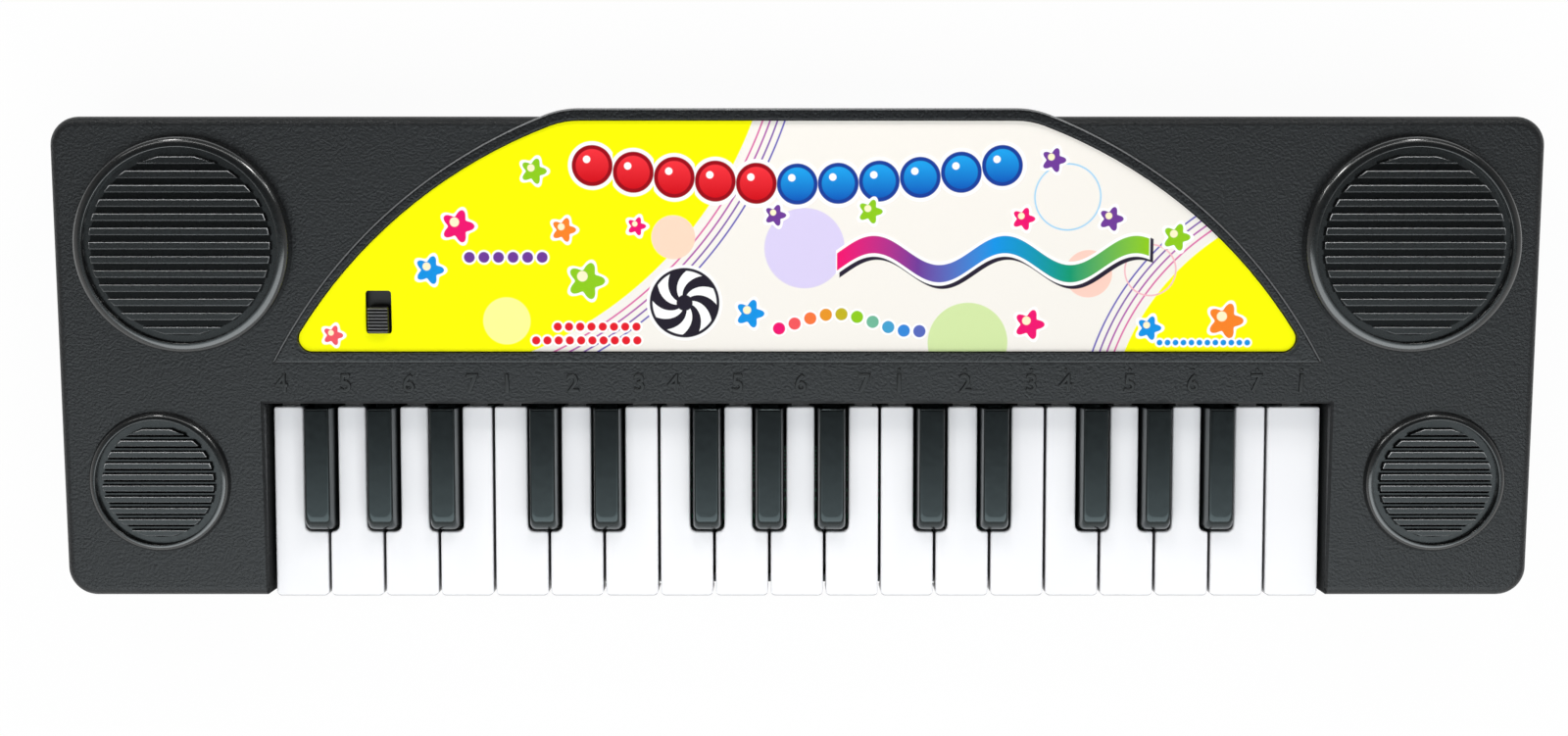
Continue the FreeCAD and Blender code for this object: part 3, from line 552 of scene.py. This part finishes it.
def black_key(x):
    """Drafted walls with a quarter-round edge. Over the white keys the front leans back on a quarter ellipse: at
    height 5.5 sin t it is 4.2 (1 - cos t) behind the foot."""
    shelf, rise = black_top - black_bevel, black_top - white_top
    hollow = (black_draft + key_wall, front_slope + key_wall, key_wall, hollow_round)
    rings = [
        black_ring(x, shelf - key_roof, *hollow),
        black_ring(x, skirt, *hollow),
        black_ring(x, skirt, 0, 0, 0),
        black_ring(x, white_top, 0, 0, 0),
    ]
    wall = [(black_draft * k, 0, white_top + (shelf - white_top) * k) for k in np.linspace(0, 1, 9)[1:-1]]
    edge = [(black_draft + inset, inset, shelf + height) for inset, height in edge_turn(black_bevel, 9)]
    for side, rear, z in wall + edge:
        front = front_lean * (1 - math.sqrt(max(0.0, 1 - ((z - white_top) / rise) ** 2)))
        rings.append(black_ring(x, z, side, front, rear))
    return [loft(rings)] + tail(x, shelf - key_roof / 2)


for k, i in enumerate(sharps):
    name = f"black_key_{k + 1:02d}"
    piece(f"{name}_moulding", name, key_black, black_key(black_at[i]), [name])


# Upper case: the same grained ABS as the tray. Its face rises by three degrees to the rear and carries the arched
# bezel in one moulding with it. The edges of the bezel are rolled over, and the digits stand up from the face.

dress(case_grey, "upper_case")
face_tilt, wing_front, wing_height = math.radians(3.0), 67.25, 30.0
face_height = wing_height + wing_front * math.tan(face_tilt)


def on_face(points):
    """Points in the face's own X, depth and height, turned by its slope about X and lifted to it."""
    x, s, h = np.asarray(points, float).T
    cos, sin = math.cos(face_tilt), math.sin(face_tilt)
    return np.column_stack([x, s * cos - h * sin, face_height + s * sin + h * cos])


panel_front, panel_rear = -1.85, 68.05
arch_front, arch_rear = panel_front / math.cos(face_tilt), panel_rear / math.cos(face_tilt)
arch_foot, arch_shoulder, arch_bow, arch_blend = 145.0, 64.0, 10.2, 26.0
chord = np.array([arch_shoulder - arch_foot, arch_rear - arch_front])
chord_long = np.linalg.norm(chord)
bow_radius = (chord_long ** 2 / 4 + arch_bow ** 2) / (2 * arch_bow)
bow_centre = np.array([arch_foot, arch_front]) + chord / 2
bow_centre = bow_centre - np.array([chord[1], -chord[0]]) / chord_long * (bow_radius - arch_bow)
bezel_rim, foot_rim, bezel_rise, bezel_roll, inner_roll, proud = 3.1, 2.2, 1.2, 0.9, 0.35, 0.02
to_foot = np.array([arch_foot, arch_front]) - bow_centre
to_shoulder = np.array([arch_shoulder, arch_rear]) - bow_centre
along_bow = np.array([to_shoulder[1], -to_shoulder[0]]) / bow_radius
rim_slide = (bezel_rim - foot_rim) * bow_radius / np.dot(along_bow, to_foot)


def arch(inset, foot, slide):
    """The arched outline drawn in by inset: on each side a foot arc, the wide bow and the shoulder arc, each tangent
    to the next, so that every centre lies at its own radius from the bow's centre. The bow may slide towards the
    foot, which narrows the rim there. The left half mirrors the right."""
    radius, centre = bow_radius - inset, bow_centre + along_bow * slide
    foot_s = arch_front + inset + foot
    foot_x = centre[0] + math.sqrt((radius - foot) ** 2 - (foot_s - centre[1]) ** 2)
    turn_s = arch_rear - arch_blend
    turn_x = centre[0] + math.sqrt((bow_radius - arch_blend) ** 2 - (turn_s - centre[1]) ** 2)
    first = math.atan2(foot_s - centre[1], foot_x - centre[0])
    last = math.atan2(turn_s - centre[1], turn_x - centre[0])
    sweeps = [
        (foot_x, foot_s, foot, np.linspace(-math.pi / 2, first, 10)),
        (*centre, radius, np.linspace(first, last, 48)[1:]),
        (turn_x, turn_s, arch_blend - inset, np.linspace(last, math.pi / 2, 28)[1:]),
    ]
    half = np.concatenate([np.column_stack([x + r * np.cos(a), s + r * np.sin(a)]) for x, s, r, a in sweeps])
    return np.concatenate([half, half[::-1] * (-1, 1)])


label_floor, foot_sharp, foot_round, rim_lap = -0.3, 0.3, 3.9, 0.6


def bezel_ring(inset, height):
    """One ring of the rim; its front corners go from sharp outside to round at the label."""
    share = min(max((inset - bezel_roll) / (bezel_rim - bezel_roll), 0.0), 1.0)
    return on_face(level(arch(inset, foot_sharp + (foot_round - foot_sharp) * share, rim_slide * share), height))


rolled = [(inset, bezel_rise + proud - bezel_roll + height) for inset, height in edge_turn(bezel_roll, 9)]
fold = [(bezel_rim + proud - inset, bezel_rise + proud - inner_roll + height)
        for inset, height in reversed(edge_turn(inner_roll))]
under = [(bezel_rim + proud, label_floor + proud), (bezel_rim - rim_lap, label_floor + proud)]
rim_grey = moulded("rolled_rim_abs", case_dark, case_light, 0.2, case_grain, 0.1, **case_sheen)
rim_back, rim_up = rim_grey.facing("YZ")
# Painted highlight: the rear-facing part of the rolled outer edge is painted light grey.
rim_highlight_low, rim_highlight_high, rim_highlight_back = 0.35, 0.9, 0.2
rim_painted_highlight = (rim_up > rim_highlight_low) * (rim_up < rim_highlight_high) * (rim_back > rim_highlight_back)
rim_grey.feed({"Base Color": rim_grey.blend(rim_painted_highlight, rim_grey.tone, ink(128, 130, 132))})
piece("bezel_rim", "case", rim_grey,
      [loft([bezel_ring(*at) for at in rolled + fold + under], closed=True)], crease=50)

digit_high, digit_relief, digit_s = 5.2, 0.5, -7.2
pip_radius, pip_high, pip_sunk, pip_turn, pip_gap, first_pip = 0.5, 0.3, 0.05, 1.35, 1.1, 11
degree = {"C": "1", "D": "2", "E": "3", "F": "4", "G": "5", "A": "6", "B": "7"}


def relief_digit(text, x, s):
    """A digit raised from the face: an outlined figure, made a mesh, scaled to its height and laid on the slope."""
    curve = bpy.data.curves.new("figure", "FONT")
    curve.body, curve.align_x, curve.align_y = text, "CENTER", "CENTER"
    curve.extrude, curve.bevel_depth, curve.bevel_resolution, curve.resolution_u = 0.05, 0.035, 2, 6
    curve.offset = -0.008
    figure = bpy.data.objects.new("figure", curve)
    mesh = bpy.data.meshes.new_from_object(figure)
    points = np.empty(3 * len(mesh.vertices))
    mesh.vertices.foreach_get("co", points)
    points = points.reshape(-1, 3)
    span = np.ptp(points, axis=0)
    scale = digit_high / span[1]
    points = (points - points.min(0) - span / 2) * (scale, scale, 2 * digit_relief / span[2])
    faces = [np.array(polygon.vertices) for polygon in mesh.polygons]
    bpy.data.objects.remove(figure)
    return on_face(points + (x, s, 0)), np.empty((0, 4), int), faces


def relief_dot(x, s):
    """A low round pip, sunk by 0.05: rings of radius 0.5 cos t at height 0.3 sin t."""
    a = np.linspace(0, 2 * math.pi, 20, endpoint=False)
    t = np.linspace(0, pip_turn, 6)[:, None]
    radius, height = pip_radius * np.cos(t), pip_high * np.sin(t) - pip_sunk + 0 * a
    rings = np.stack([x + radius * np.cos(a), s + radius * np.sin(a), height], -1)
    return loft([on_face(ring) for ring in rings])


figures = []
for i, note in enumerate(notes):
    middle = sum(stem(i)) / 2
    figures.append(relief_digit(degree[note], middle, digit_s))
    if i >= first_pip:
        figures.append(relief_dot(middle, digit_s + digit_high / 2 + pip_gap))
figure_grey = moulded("smooth_figure_abs", (16, 17, 18), (20, 21, 22), 0.24, case_grain, 0.01, **case_sheen)
piece("scale_digits", "case", figure_grey, figures, crease=30)


# Label: a printed film with a dull varnish, glued into the recess of the bezel, with a window for the switch.
# Its print is a plain design: yellow fields on cream, a garland of balloons, a ribbon, a ball, flowers and beads.

label_print = finish("printed_film", Specular_IOR_Level=0.06)
film_x, film_y = label_print.at("XY")
film_layers = []


def lay(share, *colour):
    """Prints a colour over what is already on the film, by share."""
    film_layers.append((share, colour[0] if len(colour) == 1 else ink(*colour)))


def length(x, y):
    """Length of the vector with these two parts."""
    across = label_print.node("ShaderNodeCombineXYZ", {}, {0: x, 1: y})
    return label_print.node("ShaderNodeVectorMath", {"operation": "LENGTH"}, {0: across}, "Value")


def away(x, y):
    """Distance in millimetres from a point of the label."""
    return length(film_x - x, film_y - y)


def within(distance, limit):
    """1 inside the limit and 0 outside, over an edge of a quarter millimetre."""
    return ((limit - distance) * 4 + 0.5).clamped()


def ring(distance, limit, width):
    """1 on a line of this width at the limit."""
    return within(abs(distance - limit), width / 2)


def between(x0, x1):
    """1 from one X to the other."""
    return within(abs(film_x - (x0 + x1) / 2), (x1 - x0) / 2)


def nearest(x0, pitch, count):
    """X of the nearest place in a row of places that starts at x0."""
    return (((film_x - x0) / pitch + 0.5).whole(0, count - 1)) * pitch + x0


def hues(along, *stops):
    """A colour that goes through the stops while its parameter goes from 0 to 1."""
    spread = [(k / (len(stops) - 1), ink(*stop)) for k, stop in enumerate(stops)]
    return label_print.node("ShaderNodeValToRGB", {"stops": spread}, {0: along})


cream, white, yellow, ball_black = (241, 237, 230), (255, 255, 255), (255, 255, 0), (36, 32, 44)
leaf, sky_blue, rose = (140, 200, 30), (20, 145, 225), (236, 20, 110)
violet, orange, red = (110, 60, 150), (245, 130, 40), (226, 30, 44)

# Two yellow fields with thin violet ripples round them
ripple_gap, ripple_pitch, ripple_line = 2.6, 1.9, 0.45
for x, y, size in ((-116, 104, 111), (152, -22, 66)):
    field = away(x, y)
    lay(within(field, size), *yellow)
    for k, tone in enumerate(((214, 90, 160), (170, 70, 165), (120, 70, 165), (90, 80, 180))):
        lay(ring(field, size + ripple_gap + ripple_pitch * k, ripple_line), *tone)

# Pale bubbles, two of them only a thin ring
for x, y, size, tone in ((2, 30, 11, (216, 206, 240)), (47, 4, 11, (208, 228, 165)), (-34, 33, 6, (250, 214, 190)),
                         (80, 23, 6.5, (250, 205, 190)), (-80, 10, 6.5, (255, 255, 150))):
    lay(within(away(x, y), size), *tone)
lay(ring(away(74, 44), 9, 0.4), 150, 205, 240)
lay(ring(away(97, 24), 7, 0.4), 240, 180, 190)

# A garland of balloons hangs in a bow, each a round spot with a halo, an outline and a shine
balloon_pitch, balloon_count, garland_low, garland_bow = 11.2, 11, 47.5, 0.0016
balloon_x0 = -balloon_pitch * (balloon_count - 1) / 2
balloon_at = nearest(balloon_x0, balloon_pitch, balloon_count)
balloon_x = film_x - balloon_at
balloon_y = film_y - (garland_low + garland_bow * balloon_at * balloon_at)
balloon = length(balloon_x, balloon_y)
reds = within(film_x, -0.5 * balloon_pitch)
balloon_halo, balloon_line, balloon_size, shine_size = 6.6, 5.6, 4.5, 1.0
lay(within(balloon, balloon_halo), *white)
lay(within(balloon, balloon_line), label_print.blend(reds, ink(26, 62, 150), ink(150, 10, 24)))
shade = (balloon_y * 0.12 + 0.5).clamped()
lay(within(balloon, balloon_size), label_print.blend(reds, hues(shade, (14, 92, 186), (30, 160, 232)),
                                                     hues(shade, (206, 14, 26), (240, 50, 60))))
lay(within(length(balloon_x + 1.5, balloon_y - 1.7), shine_size), *white)

# A waving ribbon in changing colours, with a white edge and a dark shadow, swings below the garland
ribbon_x, ribbon_y, ribbon_end, ribbon_wave, ribbon_swing = 12, 27, 96, 36, 4.0
ribbon_hues = hues((film_x - ribbon_x) / (ribbon_end - ribbon_x), rose, violet, sky_blue, (20, 150, 110), leaf)
for shift, wide, tone in ((0.9, 3.3, ink(40, 34, 52)), (0.0, 3.3, ink(*white)), (0.0, 2.4, ribbon_hues)):
    wave = ((film_x - ribbon_x - shift) * (2 * math.pi / ribbon_wave)).sine() * ribbon_swing
    span = between(ribbon_x - 0.5 + shift - wide / 4, ribbon_end + shift + wide / 4)
    lay(within(abs(film_y - ribbon_y + shift - wave), wide) * span, tone)

# A ball with six white swirls on black
ball_x, ball_y, ball_halo, ball_size, ball_heart = -31, 15, 10.4, 9.6, 2.2
swirl_reach, swirl_twist = 8.8, 0.12
ball = away(ball_x, ball_y)
ball_turn = (film_y - ball_y).bearing(film_x - ball_x)
swirl = (ball_turn * (3 / math.pi) + ball * swirl_twist).fraction() < 0.5
lay(within(ball, ball_halo), *white)
lay(within(ball, ball_size), *ball_black)
lay(within(ball, swirl_reach) * swirl, 246, 246, 246)
lay(within(ball, ball_heart), *ball_black)


def flower(x, y, size, tone):
    """Five petals, r = size (0.8 + 0.2 cos 5a), with a white halo and a pale heart."""
    angle = (film_y - y).bearing(film_x - x)
    petal = away(x, y) - (angle * 5 + math.pi / 2).sine() * (0.2 * size)
    lay(within(petal, 0.8 * size + 0.9), *white)
    lay(within(petal, 0.8 * size), *tone)
    lay(within(away(x - 0.2 * size, y + 0.25 * size), 0.28 * size), 255, 240, 200)


for bloom in ((-93, 36, 4.6, rose), (-101, 24, 4.0, sky_blue), (-128, 6, 2.8, (240, 90, 100)),
              (-72, 51, 3.6, leaf), (-58, 21, 5.2, leaf), (-13, 12, 4.0, sky_blue), (70, 54, 3.4, violet),
              (-64, 35, 3.4, orange), (-6, 39, 3.0, violet), (20, 40, 3.4, leaf), (62, 38, 3.2, rose),
              (64, 9, 4.2, rose), (104, 33, 3.8, leaf), (86, 38, 3.4, violet), (118, 10, 5.0, orange),
              (97, 8, 3.4, sky_blue), (-44, 36, 2.6, rose)):
    flower(*bloom)

# Rows of beads: short red and violet rows on the left, a waving row in all colours, a short blue row on the right
bead_wave, bead_halo = 43, 0.5
for x0, y, high, size, pitch, count, tone in (
        (-72, 4.6, 0, 1.15, 3.1, 10, red), (-66, 8.4, 0, 1.15, 3.1, 8, red), (-90, 27.5, 0, 1.5, 4.0, 6, violet),
        (-5, 9.5, 2.4, 1.7, 4.3, 10, None), (100, 4.0, 0, 0.8, 2.2, 12, sky_blue)):
    bead_at, row_long = nearest(x0, pitch, count), pitch * count
    bead = length(film_x - bead_at, film_y - y - (bead_at * (2 * math.pi / bead_wave)).sine() * high)
    tint = ink(*tone) if tone else hues((bead_at - x0) / row_long, rose, orange, leaf, sky_blue, violet)
    lay(within(bead, size + bead_halo), *white)
    lay(within(bead, size), tint)

print_colour = ink(*cream)
for share, colour in film_layers:
    print_colour = label_print.blend(share, print_colour, colour)
label_print.feed({
    "Base Color": print_colour,
    "Roughness": 0.42 + 0.12 * label_print.noise(3.0),
    "Normal": label_print.relief(label_print.noise(6.0), 0.01),
})
dress(label_print, "panel_label")


# Slide switch: a steel-cased switch on its own small board, in hooks under the panel.
# The black knob has eight ridges whose crests are painted light grey as a highlight, and its shutter keeps the window
# of the label closed.

switch_steel = finish("tinned_steel", Metallic=0.9)
switch_steel.feed({
    "Base Color": switch_steel.blend(switch_steel.noise(4.0), ink(165, 166, 166), ink(190, 191, 190)),
    "Roughness": 0.28 + 0.2 * switch_steel.noise(1.5),
})
dress(switch_steel, "switch_housing")
dress(board_green, "switch_board")
knob_x, knob_half, knob_s0, knob_long, knob_edge, ridges = -115.275, 2.9, 6.65, 7.3, 0.4, 8
knob_low, knob_high, ridge_deep, flange_low, flange_top = -2.9, 2.1, 0.5, -3.3, -2.5
shutter_reach, shutter_side, shutter_corner = 5.6, 1.3, 0.4
finger_half, finger_drop, finger_corner = 1, 1.9, 0.3
knob_black = finish("knob_black_abs")
knob_y, knob_z = knob_black.at("YZ")
knob_over = (knob_z - face_height) * math.cos(face_tilt) - knob_y * math.sin(face_tilt)
# Painted highlight: the crests of the ridges are painted light grey.
crest_highlight_deep, crest_highlight_gain = 0.2, 8
crest_painted_highlight = ((knob_over - (knob_high - crest_highlight_deep)) * crest_highlight_gain).clamped()
knob_tone = knob_black.blend(knob_black.noise(6.0), ink(8, 8, 9), ink(12, 12, 13))
knob_black.feed({
    "Base Color": knob_black.blend(crest_painted_highlight, knob_tone, ink(132, 133, 135)),
    "Roughness": 0.3 + 0.16 * knob_black.noise(0.4),
})


def ridged(inset):
    """Side view of the knob: the top is 2.1 - 0.5 |cos(8 pi u)|^1.4 along its length, drawn in by inset."""
    u = np.linspace(0, 1, 97)
    top = knob_high - inset - ridge_deep * np.abs(np.cos(ridges * math.pi * u)) ** 1.4
    s = knob_s0 + inset + (knob_long - 2 * inset) * u
    foot = [(knob_s0 + inset, knob_low), (knob_s0 + knob_long - inset, knob_low)]
    return np.concatenate([foot, np.column_stack([s, top])[::-1]])


def knob_shell():
    """The side view carried across, drawn in at both cheeks by a quarter round."""
    cheeks = [(knob_edge - knob_half - height, inset) for inset, height in reversed(edge_turn(knob_edge)[:-1])]
    stations = cheeks + [(-x, inset) for x, inset in reversed(cheeks)]
    rings = []
    for x, inset in stations:
        side = ridged(inset)
        rings.append(on_face(np.column_stack([np.full(len(side), knob_x + x), side])))
    return loft(rings)


def block(x0, x1, s0, s1, h0, h1, radius):
    """A block on the face with rounded upright corners."""
    plan = outline(rectangle(x0, x1, s0, s1), [radius] * 4)
    return loft([on_face(level(plan, h)) for h in (h0, h1)])


knob_mid = knob_s0 + knob_long / 2
shutter_half = knob_half + shutter_side
shutter = block(knob_x - shutter_half, knob_x + shutter_half,
                knob_s0 - shutter_reach, knob_s0 + knob_long + shutter_reach, flange_low, flange_top, shutter_corner)
finger = block(knob_x - finger_half, knob_x + finger_half, knob_mid - finger_half, knob_mid + finger_half,
               flange_low - finger_drop, flange_low, finger_corner)
piece("ridged_knob", "switch_knob", knob_black, [knob_shell(), shutter, finger], ["switch_knob"])


# Round covers: glossy black mouldings glued onto the face. A steep wall carries a bead that rounds up to its inner
# edge, and level bars with sloping sides stand in the closed dish inside it, as high as the bead. The top edges of
# the bars are painted light as a highlight, most at the rear, and a black band of painted shade lies between them.

black_sheen = (0.88, 0.98, 1.0, 1.0)
slat_black = moulded("slat_black_abs", (14, 15, 16), (19, 20, 21), 0.2, case_grain, 0.015,
                     Specular_IOR_Level=0.44, Specular_Tint=black_sheen)
slat_back, slat_up = slat_black.facing("YZ")
# Painted highlight: the rounded top edges of the bars are painted light grey, fully where they face the rear.
slat_highlight_low, slat_highlight_high, slat_highlight_back, slat_highlight_elsewhere = 0.4, 0.985, 0.1, 0.15
slat_painted_highlight = (slat_up > slat_highlight_low) * (slat_up < slat_highlight_high) * (slat_highlight_elsewhere + (1 - slat_highlight_elsewhere) * (slat_back > slat_highlight_back))
slat_black.feed({"Base Color": slat_black.blend(slat_painted_highlight, slat_black.tone, ink(196, 198, 200))})
dish_deep, dish_fillet, wall_draft, inner_edge = 1.6, 0.1, 0.3, 0.22
level_from, coat_gain = 0.99, 60
bar_end, bar_gap, bar_draft, bar_edge, bar_sunk, cut_lean = 2.0, 0.5, 0.26, 0.22, 0.1, 1.3
around = np.linspace(0, 2 * math.pi, 160, endpoint=False)


def bar_rows(radius, bead_wide, count):
    """How far the bars of a cover reach from its middle, their pitch, and the front edge of each."""
    reach = radius - bead_wide - bar_end
    pitch = 2 * (reach - bar_gap) / (count - 0.5)
    return reach, pitch, [(k - (count - 1) / 2 - 0.25) * pitch for k in range(count)]


def cover_skin(name, x, s, radius, bead_wide, count, foot_shade_from, foot_shade_share):
    """Glossy plastic with a coat where it is not level. Painted shade, a black band, lies on the floor of the dish
    along the front foot
    of each bar: with v the distance behind the first bar in pitches, it is where v - floor(v) is over the start
    passed in."""
    reach, pitch, lows = bar_rows(radius, bead_wide, count)
    skin = moulded(name, (17, 18, 19), (21, 22, 23), 0.2, 1.2, 0.006,
                   Specular_IOR_Level=0.45, Specular_Tint=black_sheen, Coat_IOR=1.6, Coat_Roughness=0.1)
    up, = skin.facing("Z")
    skin_x, skin_y, skin_z = skin.at("XYZ")
    side = abs(skin_x) - x
    back = skin_y * math.cos(face_tilt) + (skin_z - face_height) * math.sin(face_tilt) - s
    row = (back - lows[0]) / pitch
    inside = ((side * side + back * back) < reach ** 2) * (row < count - 0.5) * (up > level_from)
    # Painted shade: a black band on the dish floor along the front foot of each bar.
    foot_painted_shade = (row.fraction() > foot_shade_from) * inside * foot_shade_share
    return skin.feed({
        "Base Color": skin.blend(foot_painted_shade, skin.tone, ink(0, 0, 0)),
        "Metallic": foot_painted_shade,
        "Coat Weight": ((level_from - up) * coat_gain).clamped(),
    })


def turned(profile):
    """Rings of radius r at height h about the Z axis, for each (r, h) of a profile."""
    return loft([np.column_stack([r * np.cos(around), r * np.sin(around), np.full(len(around), h)])
                 for r, h in profile])


def slat(low, high, reach, floor, top):
    """A level bar between two depths, its straight ends cut on the circle x = sqrt(reach^2 - s^2). Its sides lean in
    by the draft as they rise, and its top edge is a quarter round."""
    def plan(inset):
        s = np.array([low + inset, high - inset])
        x = np.sqrt(reach ** 2 - np.array([low, high]) ** 2) - cut_lean * inset
        return np.column_stack([[*-x[:1], *x, *-x[1:]], [s[0], s[0], s[1], s[1]]])
    rings = [(-bar_draft, floor - bar_sunk)]
    rings += [(inset, top - bar_edge + height) for inset, height in edge_turn(bar_edge)]
    return loft([level(plan(inset), h) for inset, h in rings])


def cover(radius, top, bead_wide, bead_rise, count):
    """A drafted wall, then the quarter ellipse r = inner + edge + run cos t, h = top - rise (1 - sin t) up to the
    crest, a small roll at the inner edge and the drop to the floor of the dish; and the bars that stand on it."""
    inner, floor = radius - bead_wide, top - dish_deep
    run = bead_wide - wall_draft - inner_edge
    t = np.linspace(0, math.pi / 2, 24)
    bead = list(zip(inner + inner_edge + run * np.cos(t), top - bead_rise * (1 - np.sin(t))))
    roll = [(inner + inner_edge * (1 - np.sin(a)), top - inner_edge * (1 - np.cos(a))) for a in t[4::4]]
    reach, pitch, lows = bar_rows(radius, bead_wide, count)
    dish = turned([(radius, 0.0)] + bead + roll + [(inner, floor + dish_fillet), (inner - dish_fillet, floor)])
    return [dish], [slat(low, low + pitch / 2, reach, floor, top) for low in lows]


def set_pair(shells, x, s):
    """The shells of a cover set on the face at X and at its mirror image."""
    return [(on_face(points + (side, s, 0)), quads, lids) for side in (-x, x) for points, quads, lids in shells]


for name, x, s, radius, top, bead_wide, bead_rise, count, foot_shade_from, foot_shade_share in (
        ("rear_grilles", 168.4, 30.95, 29.9, 4.18, 3.2, 1.9, 13, 0.6, 0.65),
        ("front_grilles", 177.3, -34.95, 19.8, 2.1, 2.3, 1.7, 10, 0.75, 1.0)):
    dishes, slats = cover(radius, top, bead_wide, bead_rise, count)
    skin = cover_skin(f"{name}_abs", x, s, radius, bead_wide, count, foot_shade_from, foot_shade_share)
    piece(f"{name}_covers", "case", skin, set_pair(dishes, x, s), [name])
    piece(f"{name}_slats", "case", slat_black, set_pair(slats, x, s))


# Case screws: zinc-plated steel screws with round heads and a cross recess.
# They sit deep in four posts of the tray and draw the upper case down onto it.

screw_zinc = finish("zinc_plate", Metallic=1.0)
screw_zinc.feed({
    "Base Color": screw_zinc.blend(screw_zinc.noise(1.5), ink(168, 168, 166), ink(196, 196, 192)),
    "Roughness": 0.25 + 0.25 * screw_zinc.noise(0.6),
})
head_radius, head_low, head_seat, shank_radius, shank_top = 2.5, 7.2, 9.0, 1.3, 20.0
head_crown, head_middle, tip_radius, tip_long = 0.5, 0.06, 0.2, 1.2
cross_half, cross_side, cross_deep, cross_reach = 0.34, 0.12, 1.1, 1.6


def screw(x, y):
    """Rings from the cross recess outwards, the head being below: its face is 0.5 (r / 2.5)^3 up at its rim, plus the
    recess 1.1 (1 - r / 1.6) where |r cos a| or |r sin a| is small; then the head's side, its seat and the shank."""
    a = np.linspace(0, 2 * math.pi, 64, endpoint=False)
    r = np.linspace(head_middle, head_radius, 22)[:, None]
    across = np.minimum(np.abs(r * np.cos(a)), np.abs(r * np.sin(a)))
    cross = np.clip((cross_half - across) / cross_side, 0, 1) * np.maximum(0, cross_deep * (1 - r / cross_reach))
    face = head_low + head_crown * (r / head_radius) ** 3 + cross
    radii = np.array([head_radius, shank_radius, shank_radius, tip_radius])[:, None]
    heights = np.array([head_seat, head_seat, shank_top - tip_long, shank_top])[:, None]
    r, z = np.concatenate([r, radii]), np.concatenate([face, heights + 0 * a])
    return loft(np.stack([x + r * np.cos(a), y + r * np.sin(a), z], -1))


screw_places = [(x, y) for x in (-193.5, 193.5) for y in (-58.65, 56.95)]
piece("cross_screws", "case", screw_zinc, [screw(x, y) for x, y in screw_places], ["case_screws"])


# Studio: a pale floor that looks white to the camera, under a sky that is lighter in front and low down. A wide cool
# canopy hangs over the front half and fades out to the rear. A strip and three small lamps at the rear draw the thin
# edge lights, and the camera looks down from just behind the middle.

floor_mesh = bpy.data.meshes.new("floor")
floor_half = 4
floor_corners = [(x, y, 0) for x, y in rectangle(-floor_half, floor_half, -floor_half, floor_half)]
floor_mesh.from_pydata(floor_corners, [], [(0, 1, 2, 3)])
floor = bpy.data.objects.new("floor", floor_mesh)
bpy.context.scene.collection.objects.link(floor)
paper = finish("white_paper", Roughness=0.9)
paper.feed({"Base Color": paper.blend(paper.noise(400.0), ink(244, 244, 244), ink(250, 250, 250))})
glow = paper.node("ShaderNodeEmission", {}, {"Color": (1, 1, 1, 1), "Strength": 1.0})
camera_ray, glossy_ray, clear_ray = (paper.node("ShaderNodeLightPath", {}, {}, f"Is {ray} Ray")
                                     for ray in ("Camera", "Glossy", "Transmission"))
seen = (camera_ray + glossy_ray + clear_ray).clamped()
lit = Wire(paper, paper.shader.outputs[0])
glow_share = 0.95
both = paper.node("ShaderNodeMixShader", {}, {0: seen * glow_share, 1: lit, 2: glow})
paper.put(paper.tree.nodes["Material Output"].inputs["Surface"], both)
floor_mesh.materials.append(paper.owner)

world = bpy.data.worlds.new("studio")
bpy.context.scene.world = world
sky = Finish(world, "Background")
sky_y, sky_z = sky.parts(sky.node("ShaderNodeTexCoord", {}, {}, "Generated"), "YZ")
front_share = (0.5 - 1.5 * sky_y).clamped()
warm, cool = (1.03, 1.0, 0.98), (0.96, 1.0, 1.02)
sky_level, sky_fall, rear_level, front_gain = 0.5, 0.48, 0.35, 1.45
sky_light = (sky_level - sky_fall * sky_z * sky_z) * (rear_level + front_gain * front_share)
sky.feed({"Color": (*warm, 1.0), "Strength": sky_light})


def softbox(name, radiance, colour, wide, deep, at, aim):
    """An area light of this size at a place, facing a point; its power is pi times its area and radiance."""
    lamp = bpy.data.lights.new(name, "AREA")
    lamp.shape, lamp.size, lamp.size_y, lamp.energy = "RECTANGLE", wide, deep, math.pi * wide * deep * radiance
    lamp.color = colour
    held = bpy.data.objects.new(name, lamp)
    bpy.context.scene.collection.objects.link(held)
    z = np.array(at) - np.array(aim)
    z = z / np.linalg.norm(z)
    x = np.cross((0, 1, 0), z)
    x = x / np.linalg.norm(x)
    turn = np.column_stack([x, np.cross(z, x), z, at])
    held.matrix_world = Matrix(np.vstack([turn, (0, 0, 0, 1)]).tolist())


canopy_light, canopy_wide, canopy_deep, canopy_rear, canopy_high, fade_deep = 2.55, 2.0, 1.5, -0.25, 1.2, 0.03
canopy = [("canopy", 1.0, canopy_deep, canopy_rear - canopy_deep / 2)]
canopy += [(f"canopy_fade_{step}", share, fade_deep, canopy_rear + (step + 0.5) * fade_deep)
           for step, share in enumerate((0.75, 0.5, 0.25))]
for name, share, deep, y in canopy:
    softbox(name, canopy_light * share, cool, canopy_wide, deep, (0, y, canopy_high), (0, y, 0))
softbox("rear_strip", 3.0, warm, 1.6, 0.08, (0, 0.55, 0.5), (0, 0, 0))
lamp_light, lamp_wide, lamp_deep = 16.0, 0.05, 0.07
for name, place in (("rear_lamp", (-0.008, 0.275, 0.21)), ("left_lamp", (-0.30, 0.39, 0.22)),
                    ("right_lamp", (0.27, 0.395, 0.23))):
    softbox(name, lamp_light, warm, lamp_wide, lamp_deep, place, (0, 0, 0))

camera = bpy.data.cameras.new("camera")
camera.sensor_width, camera.lens = 36.0, 45.0
camera.clip_start, camera.clip_end = 0.01, 20.0
viewer = bpy.data.objects.new("camera", camera)
bpy.context.scene.collection.objects.link(viewer)
viewer.location = (-0.00363, 0.0336, 0.574)
viewer.rotation_euler = (math.radians(-3.88), 0, 0)
bpy.context.scene.camera = viewer
bpy.context.scene.view_settings.view_transform = "Standard"
